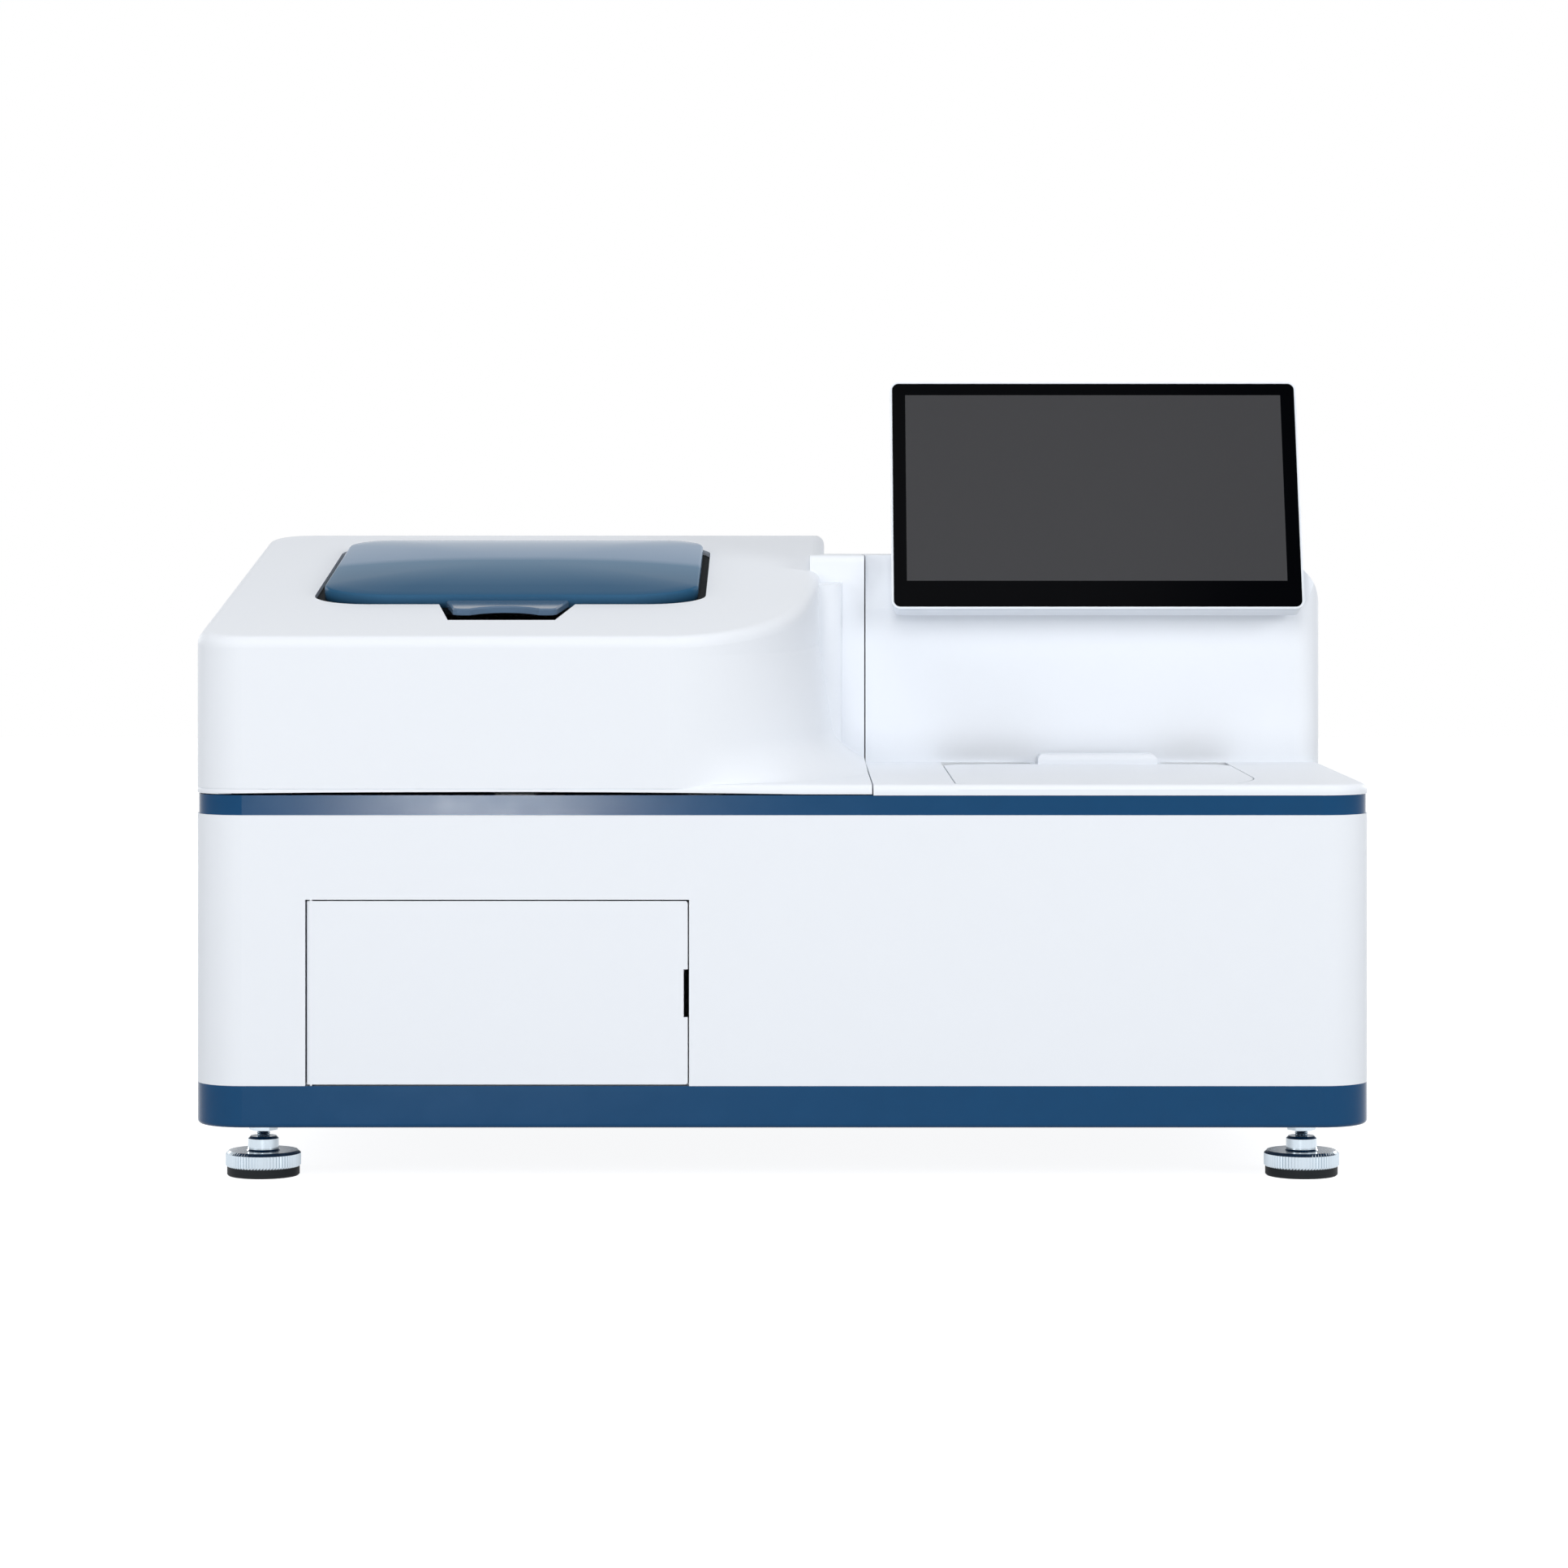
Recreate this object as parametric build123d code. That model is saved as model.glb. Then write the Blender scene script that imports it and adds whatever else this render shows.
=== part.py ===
from build123d import *
import math
import os

# Benchtop automatic microplate reader. Millimetres; X to the right, front at -Y, Z up.
# The origin is at the middle of the footprint, on the surface that the feet stand on.

# Case
case_w = 860.0            # overall width
case_d = 540.0            # depth of the case itself
hinge_reach = 10.0        # how far the cover hinges stand behind the case
corner_r = 36.0           # vertical corners of the case
base_z = 41.4             # underside of the base tray
band_z = 72.0             # top of the blue base band
strip_z = 269.2           # underside of the accent strip
seat_z = 283.7            # top of the accent strip, where the covers seat
deck_z = 291.5            # top of the flat deck
lift_gap = 0.8            # line between the lifting cover and the strip
strip_inset = 1.0         # how far the strip stands back from the case
strip_w = 14.0            # width of the strip's ring
tray_wall = 3.0
tray_edge_r = 3.0
housing_wall = 4.0
cover_wall = 4.0
flange_w = 14.0           # inward flanges of tray and housing
flange_t = 3.0
edge_r = 6.0              # rolled edge of the covers
running = 0.05            # radial clearance of running fits
fixed = 0.02              # radial clearance of pins that are held
seat_gap = 0.3            # gap at seats between moving pieces

# Left cover: hump, deck and the wall beside the column
seam_x = 65.8             # middle of the line between the two covers
seam_gap = 1.0
hump_front_z = 399.0      # front edge of the sloping top
hump_slope = 0.1373       # rise per length of depth
hump_top_z = 520.0        # height to which the hump is drawn before its top is cut
hump_edge_r = 9.0         # rolled edge of the hump's top
sweep_x = -85.0           # where the front's straight edge ends
sweep_a = 105.4           # half width of the sweeping corner
sweep_b = 203.2           # depth of the sweeping corner
sweep_turn = 80.6         # degrees of its quarter that are used
hump_rear_x = 35.0        # right side of the hump at the rear
sweep_skim = 0.1          # how far the sweep's curve starts outside the front face
flare_r = 34.0            # height of the concave sweep from side to deck
flare_w = 50.0            # how far that sweep spreads
flare_start = 0.03        # share of the sweep's quarter round left off at the deck
flare_outer = (0.0, 0.05, 0.18, 0.45, 1.0)
flare_inner = (0.0, 0.4, 1.0)
draft_w = 9.0             # spread of the drafted side above the sweep
draft_h = 60.0            # height of the drafted side
block_x = 22.0            # left end of the wall portion beside the column
block_d = 330.0           # its front face, from the front of the case
block_tuck = 5.5          # how far the hump's side stands left of its rear end there
blend_r = 18.0            # hollow corner between the hump and the wall portion
grip_x = -216.0           # shallow relief under the front edge, to lift the cover by
grip_w = 460.0
grip_rise = 1.8

# Right cover: deck and column
column_top_z = 456.5
column_knee_z = 413.7
column_lean = 20.7        # degrees that the screen slope leans back
column_side_r = 42.0      # top right corner, seen from the front
column_front_r = 22.0     # front right vertical corner

# Window lid
lid_x = -209.5
lid_w = 289.0
lid_d0 = 163.0            # front edge, from the front of the case along the slope
lid_len = 302.0
lid_r = 38.0
lid_rise = 10.0           # how far the lid stands above the cover
lid_wall = 3.0
lid_edge_r = 7.0
lid_gap = 6.0             # dark gap round the lid
ledge_w = 15.0
frame_t = 4.0
notch_w = 104.0           # finger notch in front of the lid
notch_len = 78.0
notch_depth = 13.0
tab_root_w = 93.0
tab_tip_w = 77.0
tab_len = 41.0
tab_t = 5.0
lid_pin_r = 1.5
lid_lug_r = 3.0
ear_r = 2.4               # ears of the frame that hold the lid's pins
lid_lug_w = 16.0
lid_lug_x = 95.0          # lugs' distance from the lid's middle

# Hatch
hatch_side = 78.0         # right edge, from the case's side
hatch_w = 225.0
hatch_front = 9.0         # from the front of the case
hatch_back = 25.0         # rear edge, in front of the column
hatch_t = 3.3
hatch_gap = 1.0
hatch_ledge = 7.0
hatch_skin_z = 288.0      # ledge on which the hatch lies
hatch_axis_back = 14.0    # hinge axis, in front of the column
hatch_axis_z = 287.5
hatch_boss_w = 94.0
hatch_boss_r = 6.5
hatch_pin_r = 1.8

# Front door
door_x0 = -346.7
door_x1 = -69.0
door_z0 = 73.2
door_z1 = 206.7
door_t = 4.0
door_gap = 1.0
door_knuckle_r = 3.0
door_pin_r = 1.5

# Cover hinges
hinge_xs = (-330.0, -40.0)
hinge_w = 60.0
hinge_r = 4.5
hinge_pin_r = 2.5
hinge_leaf = 25.0
hinge_z = 287.0
leaf_t = 2.0
knuckles = 5

# Levelling feet
foot_side = 46.0          # from the case's sides
foot_inset = 55.0
pad_r = 26.75
pad_h = 6.8
disc_r = 27.8
disc_top = 18.5
knurls = 36               # flats round the disc
collar_r = 11.5
collar_top = 29.0
nut_r = 10.5
nut_h = 8.0
stud_r = 5.0
stud_into = 20.0

# Screen, in the plane of the column's slope
screen_x = 250.2
screen_w = 327.0
screen_h = 194.0
screen_low = -9.3         # lower edge, along the slope from its foot
screen_r = 7.0
screen_out = 27.5         # front of the glass above the slope
screen_back = 3.0
rim_w = 1.6               # pale rim round the glass

# Mechanism
deck_t = 6.0
work_z = 228.0            # top of the work deck
track_y = -60.0
load_shift = 0.5          # carriage's middle, right of the hatch's middle
track_x0 = -300.0         # left end of the rails
track_spare = 65.0        # rails beyond the carriage's middle at its load position
screw_spare = 4.0         # right bearing, beyond the rails
rail_pitch = 100.0
rail_w = 12.0
rail_h = 8.0
screw_r = 5.0
motor_s = 42.0
head_x = -200.0
head_beam_z = 318.0
beam_t = 8.0
wash_x = -60.0
wash_half = 75.0          # half the clear width of the wash bridge
wash_block_z = 302.0
guide_reach = 35.0        # the comb's guide rods, from its middle
well_pitch = 9.0
wheel_side = 70.0         # from the left side of the case
wheel_z = 275.0
wheel_r = 38.0
filters = 6
carriage_l = 120.0
nest_rise = 34.0          # top of the carriage above the work deck
plate_w = 85.48           # footprint of a standard microplate
plate_d = 127.76

# Bottle bay and rear panel
bay_depth = 205.0
bay_wall = 1.5
panel_w = 600.0
panel_z0 = 86.0
panel_z1 = 254.0
panel_t = 2.0
panel_lap = 8.0
fan_x = 200.0
fan_z = 165.0
fan_s = 92.0
inlet_x = -220.0
switch_x = -160.0
power_z = 130.0
rocker_r = 10.5
port_z = 205.0
port_sizes = ((-230.0, 14.0, 7.0), (-205.0, 14.0, 7.0), (-165.0, 32.0, 11.0))
slot_w = 3.4              # vent slots
slot_pitch = 8.4
vent_pitch = 14.0
vents = 10

# Inside
board_z = 58.0            # underside of the main board
board_w = 220.0
board_y0 = 70.0
board_y1 = 215.0
board_t = 1.6
board_parts = (           # x, y, width, depth and height of the parts on the board
    (-40, 140, 40, 40, 4),
    (30, 150, 26, 26, 3),
    (-85, 120, 12, 60, 12),
    (85, 140, 14, 80, 14),
    (20, 200, 70, 12, 10),
    (40, 100, 30, 16, 20),
)
post_r = 8.0
post_side = 35.0          # pillars, from the case's sides
post_back = 30.0          # rear pillar, from the rear of the case
post_front = 40.0         # front pillars, from the front of the case
bottle_xs = (-300.0, -214.0)
bottle_w = 76.0
bottle_d = 110.0
bottle_h = 92.0
bottle_r = 14.0
neck_r = 17.0
neck_h = 12.0
cap_r = 21.0
cap_h = 14.0

front_y = -(case_d + hinge_reach) / 2
rear_y = front_y + case_d
screw_z = work_z + motor_s / 2
nest_z = work_z + nest_rise
head_screw_z = head_beam_z + beam_t + 14
mid_y = (front_y + rear_y) / 2
side_x = case_w / 2
column_y = front_y + block_d
hatch_x1 = side_x - hatch_side
hatch_x0 = hatch_x1 - hatch_w
hatch_rear_y = column_y - hatch_back
hatch_axis_y = column_y - hatch_axis_back
load_x = (hatch_x0 + hatch_x1) / 2 + load_shift
track_x1 = load_x + track_spare
screw_x0 = -(track_x1 + screw_spare)
screw_x1 = track_x1 + screw_spare
wheel_x = wheel_side - side_x
slope_plane = Plane((0, front_y, hump_front_z), x_dir=(1, 0, 0), z_dir=(0, -hump_slope, 1))
foot_spots = [
    (x, y)
    for y in (front_y + foot_inset, rear_y - foot_inset)
    for x in (foot_side - side_x, side_x - foot_side)
]
post_x = side_x - post_side
post_spots = (
    (-post_x, 150),
    (-post_x, 0),
    (0, rear_y - post_back),
    (post_x, 150),
    (post_x, -130),
    (0, front_y + post_front),
    (200, front_y + post_front),
)


def brick(x0, x1, y0, y1, z0, z1):
    """A block between two corners."""
    return Pos((x0 + x1) / 2, (y0 + y1) / 2, (z0 + z1) / 2) * Box(x1 - x0, y1 - y0, z1 - z0)


def rod(x, y, z0, z1, r):
    """An upright cylinder."""
    return Pos(x, y, (z0 + z1) / 2) * Cylinder(r, z1 - z0)


def rod_x(x0, x1, y, z, r):
    """A cylinder along X."""
    return Pos((x0 + x1) / 2, y, z) * Rot(0, 90, 0) * Cylinder(r, x1 - x0)


def rod_y(x, y0, y1, z, r):
    """A cylinder along Y."""
    return Pos(x, (y0 + y1) / 2, z) * Rot(90, 0, 0) * Cylinder(r, y1 - y0)


def case_slab(z0, z1, inset=0.0):
    """The case's rounded plan between two heights."""
    plan = RectangleRounded(case_w - 2 * inset, case_d - 2 * inset, corner_r - inset)
    return Pos(0, mid_y, z0) * extrude(plan, z1 - z0)


def side_prism(points, x0, x1):
    """A profile in Y and Z, carried along X."""
    face = Plane.YZ.offset(x0) * make_face(Polyline(*points, close=True))
    return extrude(face, x1 - x0)


def save(shape, name):
    """Writes one sub-part."""
    export_step(shape, "parts/" + name + ".step")


# ---- base ----

def base_tray():
    """Blue tray with a lip for the housing and threaded bosses for the feet."""
    body = case_slab(base_z, band_z)
    body = fillet(body.faces().sort_by(Axis.Z)[0].edges(), tray_edge_r)
    body -= case_slab(base_z + tray_wall, band_z - flange_t, tray_wall)
    body -= case_slab(band_z - flange_t - 1, band_z + 1, flange_w)
    for x, y in foot_spots:
        body += rod(x, y, base_z + tray_wall / 2, base_z + stud_into + 4, 2.4 * stud_r)
        body -= rod(x, y, base_z - 1, base_z + stud_into + 5, stud_r + running)
    for x in (-100.0, 100.0):
        for y in (80.0, 205.0):
            body += rod(x, y, base_z + tray_wall / 2, board_z, 4.0)
    px, py = door_axis()
    body -= rod(px, py, band_z - flange_t - 1, band_z + 1, door_pin_r + fixed)
    return body


def door_axis():
    """Where the door's hinge line stands."""
    return door_x0 + door_knuckle_r, front_y + door_knuckle_r


def lower_housing():
    """White case of four walls, with the door's opening and the rear opening."""
    body = case_slab(band_z, strip_z)
    body -= case_slab(band_z - 1, strip_z - flange_t, housing_wall)
    body -= case_slab(strip_z - flange_t - 1, strip_z + 1, flange_w)
    px, py = door_axis()
    inner = front_y + housing_wall
    top = door_z1 + door_gap
    body -= brick(door_x0 - door_gap, door_x1 + door_gap, front_y - 1, inner + 1, band_z - 1, top)
    body += brick(px - 7, px + 7, inner - 1, inner + 7, top, top + 12)
    body -= rod(px, py, top - 1, top + 9, door_pin_r + fixed)
    half = panel_w / 2 - panel_lap
    z0, z1 = panel_z0 + panel_lap, panel_z1 - panel_lap
    return body - brick(-half, half, rear_y - housing_wall - 1, rear_y + 1, z0, z1)


def accent_strip():
    """Blue ring between the housing and the covers."""
    return case_slab(strip_z, seat_z, strip_inset) - case_slab(strip_z - 1, seat_z + 1, strip_w)


def rear_panel():
    """Service panel with the fan's slots, vents and cut-outs."""
    plate = Box(panel_w, panel_t, panel_z1 - panel_z0)
    plate = fillet(plate.edges().filter_by(Axis.Y), 6)
    plate = Pos(0, rear_y + panel_t / 2, (panel_z0 + panel_z1) / 2) * plate
    y0, y1 = rear_y - 1, rear_y + panel_t + 1
    slots = 9
    for i in range(slots):
        dz = (i - (slots - 1) / 2) * slot_pitch
        half = math.sqrt((fan_s / 2 - 4) ** 2 - dz ** 2)
        z = fan_z + dz
        plate -= brick(fan_x - half, fan_x + half, y0, y1, z - slot_w / 2, z + slot_w / 2)
    for i in range(vents):
        x = (i - (vents - 1) / 2) * vent_pitch - 7
        plate -= brick(x - slot_w / 2, x + slot_w / 2, y0, y1, fan_z - 35, fan_z + 35)
    plate -= brick(inlet_x - 14, inlet_x + 14, y0, y1, power_z - 10, power_z + 10)
    plate -= brick(switch_x - 10, switch_x + 10, y0, y1, power_z - 14, power_z + 14)
    for x, w, h in port_sizes:
        plate -= brick(x - w / 2, x + w / 2, y0, y1, port_z - h / 2, port_z + h / 2)
    return plate


def data_ports():
    """Two bus sockets and one serial connector, seated in the rear panel."""
    out = []
    for x, w, h in port_sizes:

        def plug(grow, y0, y1):
            half_w, half_h = w / 2 + grow, h / 2 + grow
            return brick(x - half_w, x + half_w, y0, y1, port_z - half_h, port_z + half_h)

        body = plug(-0.05, rear_y - 10, rear_y + panel_t + 1) + plug(3, rear_y - 3, rear_y)
        body -= plug(-1.2, rear_y - 6, rear_y + panel_t + 2)
        out.append(body + plug(-2.4, rear_y - 7, rear_y + panel_t))
    return Compound(children=out)


# ---- covers ----

def hump_plan(z, spread, inset):
    """The hump's plan at one height, drawn past the case on three sides; spread moves its right side out."""
    far = case_w
    front = front_y + inset - sweep_skim
    cy = front_y + sweep_b
    a = sweep_a + spread - inset
    sweep = EllipticalCenterArc((sweep_x, cy), a, cy - front, -90, arc_size=sweep_turn)
    rear_x = hump_rear_x + spread - inset
    side = TangentArc(sweep @ 1, (rear_x, rear_y), tangent=sweep % 1)
    edges = [
        Line((-far, front), (sweep_x, front)),
        sweep,
        side,
        Line((rear_x, rear_y), (rear_x, far)),
        Line((rear_x, far), (-far, far)),
        Line((-far, far), (-far, front)),
    ]
    return Pos(0, 0, z) * make_face(edges)


def flare(t):
    """Spread of the concave sweep at a share t of its height."""
    return draft_w + flare_w * (1 - math.sin(math.acos(1 - flare_start - (1 - flare_start) * t)))


def below_slope(inset=0.0):
    """Everything under the hump's sloping top."""
    block = Pos(0, case_d / 2, -200) * Box(2 * case_w, 3 * case_d, 400)
    return slope_plane * Pos(0, 0, -inset) * block


def hump_form(inset=0.0):
    """The hump: upright walls, a flared right side and a sloping top with a rolled edge."""
    low = deck_z - inset
    mid = low + flare_r
    shares = flare_inner if inset else flare_outer
    sections = [hump_plan(low - 3, flare(0) + 18, inset)]
    for t in shares:
        sections.append(hump_plan(low + flare_r * t, flare(t), inset))
    side = loft(sections, ruled=inset > 0)
    side += loft([hump_plan(mid, draft_w, inset), hump_plan(mid + draft_h, 0.0, inset)], ruled=True)
    side += extrude(hump_plan(mid + draft_h, 0.0, inset), hump_top_z - mid - draft_h)
    body = case_slab(low - 3, hump_top_z, inset) & side & below_slope(inset)
    if inset == 0.0:
        normal = slope_plane.z_dir
        tops = [f for f in body.faces() if abs(f.normal_at().dot(normal) - 1) < 1e-4]
        rim = [e for e in tops[0].edges() if e.center().Y < rear_y - 1]
        body = fillet(rim, hump_edge_r)
    return body


def corner_blend(wall_front):
    """Hollow corner between the hump's side and the wall portion, kept below the hump's rolled edge."""
    x, y, r = hump_rear_x - block_tuck, wall_front, blend_r
    edges = [
        Line((x - r, y + r), (x - r, y - r)),
        Line((x - r, y - r), (x, y - r)),
        RadiusArc((x, y - r), (x + r, y), -r),
        Line((x + r, y), (x + r, y + r)),
        Line((x + r, y + r), (x - r, y + r)),
    ]
    column = Pos(0, 0, seat_z + lift_gap) * extrude(make_face(edges), hump_top_z - seat_z)
    return column & below_slope(hump_edge_r)


def left_form(inset=0.0):
    """Hump, flat deck and wall portion of the left cover."""
    right = seam_x - seam_gap / 2 - inset
    floor = seat_z + lift_gap - (10 if inset else 0)
    slab = case_slab(floor, deck_z - inset, inset)
    if inset == 0.0:
        front = [e for e in slab.edges() if e.center().Z > deck_z - 0.01 and e.center().Y < front_y + 0.5]
        slab = fillet(front, edge_r - 0.5)
    wall_front = front_y + block_d + inset
    wall = brick(block_x + 5 * inset, right, wall_front, rear_y - inset, floor, column_top_z - inset)
    body = slab + hump_form(inset)
    if inset == 0.0:
        wall = fillet([e for e in wall.edges().filter_by(Axis.X) if e.center().Z > deck_z], edge_r)
        body += corner_blend(wall_front)
    body += wall
    return body - brick(right, case_w, -case_w, case_w, 0, hump_top_z)


def lid_plate(grow, low, high):
    """A plate of the lid's outline, grown all round, in the plane of the slope."""
    plan = RectangleRounded(lid_w + 2 * grow, lid_len + 2 * grow, lid_r + grow)
    return Pos(lid_x, lid_d0 + lid_len / 2, low) * extrude(plan, high - low)


def notch_body(grow, depth):
    """The finger notch in front of the lid, or the pocket's wall round it."""
    w = notch_w / 2 + grow
    tip = notch_w / 2 - 12 + grow
    d1 = lid_d0 - lid_gap + 1
    d0 = d1 - notch_len - grow
    plan = make_face(Polyline((-tip, d0), (tip, d0), (w, d1), (-w, d1), close=True))
    return Pos(lid_x, 0, -depth) * extrude(plan, depth + 30)


def grip_relief():
    """Shallow arch cut under the cover's front edge."""
    z = seat_z + lift_gap
    x0, x1 = grip_x - grip_w / 2, grip_x + grip_w / 2
    edges = [
        ThreePointArc((x0, z), (grip_x, z + grip_rise), (x1, z)),
        Line((x1, z), (x1, z - 5)),
        Line((x1, z - 5), (x0, z - 5)),
        Line((x0, z - 5), (x0, z)),
    ]
    arch = Plane.XZ.offset(-front_y - cover_wall - 1) * make_face(edges)
    return extrude(arch, cover_wall + 2)


def left_cover():
    """Lifting cover with the lid's opening, a pocket for the fingers and a relief to lift it by."""
    pocket = slope_plane * notch_body(cover_wall, notch_depth + cover_wall)
    inner = left_form(cover_wall) - pocket
    body = left_form() - inner
    body -= slope_plane * lid_plate(lid_gap, -40, 40)
    body -= slope_plane * notch_body(0, notch_depth)
    return body - grip_relief()


def window_frame():
    """Dark ledge under the opening, with the ears that hold the lid's pins."""
    top = -cover_wall - 0.1
    ring = lid_plate(lid_gap + 8, top - frame_t, top) - lid_plate(lid_gap - ledge_w, top - 20, 10)
    hy, hz = lid_axis()
    for side in (-1, 1):
        for off in (-1, 1):
            x = lid_x + side * lid_lug_x + off * (lid_lug_w / 2 + 2.5)
            ring += brick(x - 2, x + 2, hy - ear_r, hy + ear_r, top - 1, hz)
            ring += rod_x(x - 2, x + 2, hy, hz, ear_r)
        x = lid_x + side * lid_lug_x
        ring -= rod_x(x - 15, x + 15, hy, hz, lid_pin_r + fixed)
        ring -= brick(x - lid_lug_w / 2 - 0.5, x + lid_lug_w / 2 + 0.5, hy - 4.6, hy + 4.6, top - 0.2, 10)
    front = notch_body(cover_wall + 0.3, 60)
    return slope_plane * (ring - front)


def lid_axis():
    """The lid's hinge line in the plane of the slope."""
    return lid_d0 + lid_len + lid_gap - lid_lug_r - seat_gap, 1.5


def window_lid():
    """Domed smoked lid with two lugs at its rear edge."""
    low = -cover_wall + seat_gap
    outer = lid_plate(0, low, lid_rise)
    outer = fillet([e for e in outer.edges() if e.center().Z > lid_rise - 0.01], lid_edge_r)
    inner = lid_plate(-lid_wall, low - 1, lid_rise - lid_wall)
    inner = chamfer([e for e in inner.edges() if e.center().Z > lid_rise - lid_wall - 0.01], lid_edge_r / 2)
    body = outer - inner
    hy, hz = lid_axis()
    for side in (-1, 1):
        x = lid_x + side * lid_lug_x
        x0, x1 = x - lid_lug_w / 2, x + lid_lug_w / 2
        lug = brick(x0, x1, hy - 8, hy, hz - lid_lug_r, hz + lid_lug_r) + rod_x(x0, x1, hy, hz, lid_lug_r)
        body += lug - brick(x0 - 1, x1 + 1, hy - 30, hy - 6, -20, 20)
        body -= rod_x(x0 - 1, x1 + 1, hy, hz, lid_pin_r + running)
    return slope_plane * body


def lid_hinge_pins():
    """Two pins held in the frame's ears."""
    hy, hz = lid_axis()
    pins = []
    for side in (-1, 1):
        x = lid_x + side * lid_lug_x
        half = lid_lug_w / 2 + 4.3
        pins.append(slope_plane * rod_x(x - half, x + half, hy, hz, lid_pin_r))
    return Compound(children=pins)


def lid_handle():
    """Tapered tab on the lid's front edge, with a scallop for the fingers."""
    d1 = lid_d0
    d0 = d1 - tab_len
    r, t = tab_root_w / 2, tab_tip_w / 2
    plan = make_face(Polyline((-t, d0), (t, d0), (r, d1), (-r, d1), close=True))
    plan = fillet(plan.vertices().sort_by(Axis.Y)[:2], 6)
    tab = Pos(lid_x, 0, -tab_t / 2 - 0.5) * extrude(plan, tab_t)
    tab -= Pos(lid_x, d0 - 22, 0) * Cylinder(34, 3 * tab_t)
    tab = chamfer([e for e in tab.edges() if e.center().Z > tab_t / 2 - 0.6 and e.center().Y < d1 - 1], 1.2)
    return slope_plane * tab


def cover_hinge(fixed_side):
    """Fixed leaves below the hinge line, or lifting leaves above it."""
    hinges = []
    y = rear_y + hinge_reach - hinge_r
    step = hinge_w / knuckles
    clear = hinge_r + 0.6
    down = -1 if fixed_side else 1
    for hx in hinge_xs:
        x0 = hx - hinge_w / 2
        leaf = None
        for i in range(knuckles):
            left, right = x0 + i * step, x0 + (i + 1) * step
            mine = (i % 2 == 0) == fixed_side
            near = hinge_z if mine else hinge_z + down * clear
            z0, z1 = sorted((near, hinge_z + down * hinge_leaf))
            piece = brick(left, right, rear_y, rear_y + leaf_t, z0, z1)
            if mine:
                a, b = left + 0.15, right - 0.15
                for x2, x3 in ((left - 1, a), (b, right + 1)):
                    piece -= brick(x2, x3, rear_y - 1, rear_y + 9, hinge_z - clear, hinge_z + clear)
                z2, z3 = sorted((hinge_z, hinge_z + down * hinge_r))
                piece += rod_x(a, b, y, hinge_z, hinge_r) + brick(a, b, rear_y, y, z2, z3)
                piece -= brick(a - 1, b + 1, rear_y - 3, rear_y, hinge_z - 9, hinge_z + 9)
            leaf = piece if leaf is None else leaf + piece
        bore = hinge_pin_r + (fixed if fixed_side else running)
        leaf -= rod_x(x0 - 1, x0 + hinge_w + 1, y, hinge_z, bore)
        hinges.append(leaf)
    return Compound(children=hinges)


def cover_hinge_pins():
    """Two pins through the hinge leaves."""
    y = rear_y + hinge_reach - hinge_r
    half = hinge_w / 2
    return Compound(children=[rod_x(x - half, x + half, y, hinge_z, hinge_pin_r) for x in hinge_xs])


def right_form(inset=0.0):
    """Deck and column of the right cover."""
    left = seam_x + seam_gap / 2 + inset
    floor = seat_z - (10 if inset else 0)
    deck = case_slab(floor, deck_z - inset, inset)
    if inset == 0.0:
        upper = [e for e in deck.edges() if e.center().Z > deck_z - 0.01]
        rim = [e for e in upper if e.center().Y < rear_y - corner_r - 1]
        deck = fillet(rim, edge_r - 0.5)
    face_y = column_y
    lean = (column_top_z - column_knee_z) * math.tan(math.radians(column_lean))
    top = column_top_z - inset
    profile = [
        (face_y + inset, floor),
        (face_y + inset, column_knee_z),
        (face_y + inset + lean * (top - column_knee_z) / (column_top_z - column_knee_z), top),
        (rear_y - inset, top),
        (rear_y - inset, floor),
    ]
    column = side_prism(profile, left, side_x - inset)
    front = RectangleRounded(case_w - 2 * inset, 2 * (top - floor), column_side_r - inset)
    shell = Plane.XZ.offset(-rear_y) * Pos(0, floor, 0) * extrude(front, case_d)
    plan_d = rear_y - face_y
    plan = RectangleRounded(case_w - 2 * inset, plan_d - 2 * inset, column_front_r - inset)
    upright = Pos(0, face_y + plan_d / 2, floor) * extrude(plan, top - floor)
    column = column & shell & upright & case_slab(floor, top, inset)
    body = deck + column
    return body - brick(-case_w, left, -case_w, case_w, 0, hump_top_z)


def hatch_plan(grow):
    """The hatch's outline: a small corner on the left, a long one on the right, an arched rear edge."""
    y0 = front_y + hatch_front - grow
    x0, x1 = hatch_x0 - grow, hatch_x1 + grow
    y1 = hatch_rear_y + grow
    a, b = 42.0, 95.0
    edges = [
        Line((x0 + 12, y0), (x1 - a, y0)),
        EllipticalCenterArc((x1 - a, y0 + b), a, b, -90, arc_size=90),
        Line((x1, y0 + b), (x1, y1 - 28)),
        Line((x1, y1 - 28), (x1 - 10, y1 - 12)),
        ThreePointArc((x1 - 10, y1 - 12), ((x0 + x1) / 2, y1), (x0 + 10, y1 - 12)),
        Line((x0 + 10, y1 - 12), (x0, y1 - 28)),
        Line((x0, y1 - 28), (x0, y0 + 12)),
        CenterArc((x0 + 12, y0 + 12), 12, 180, 90),
    ]
    return make_face(edges)


def hatch_mid():
    """Middle of the hatch's boss."""
    return (hatch_x0 + hatch_x1) / 2 + 9.5


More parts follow.
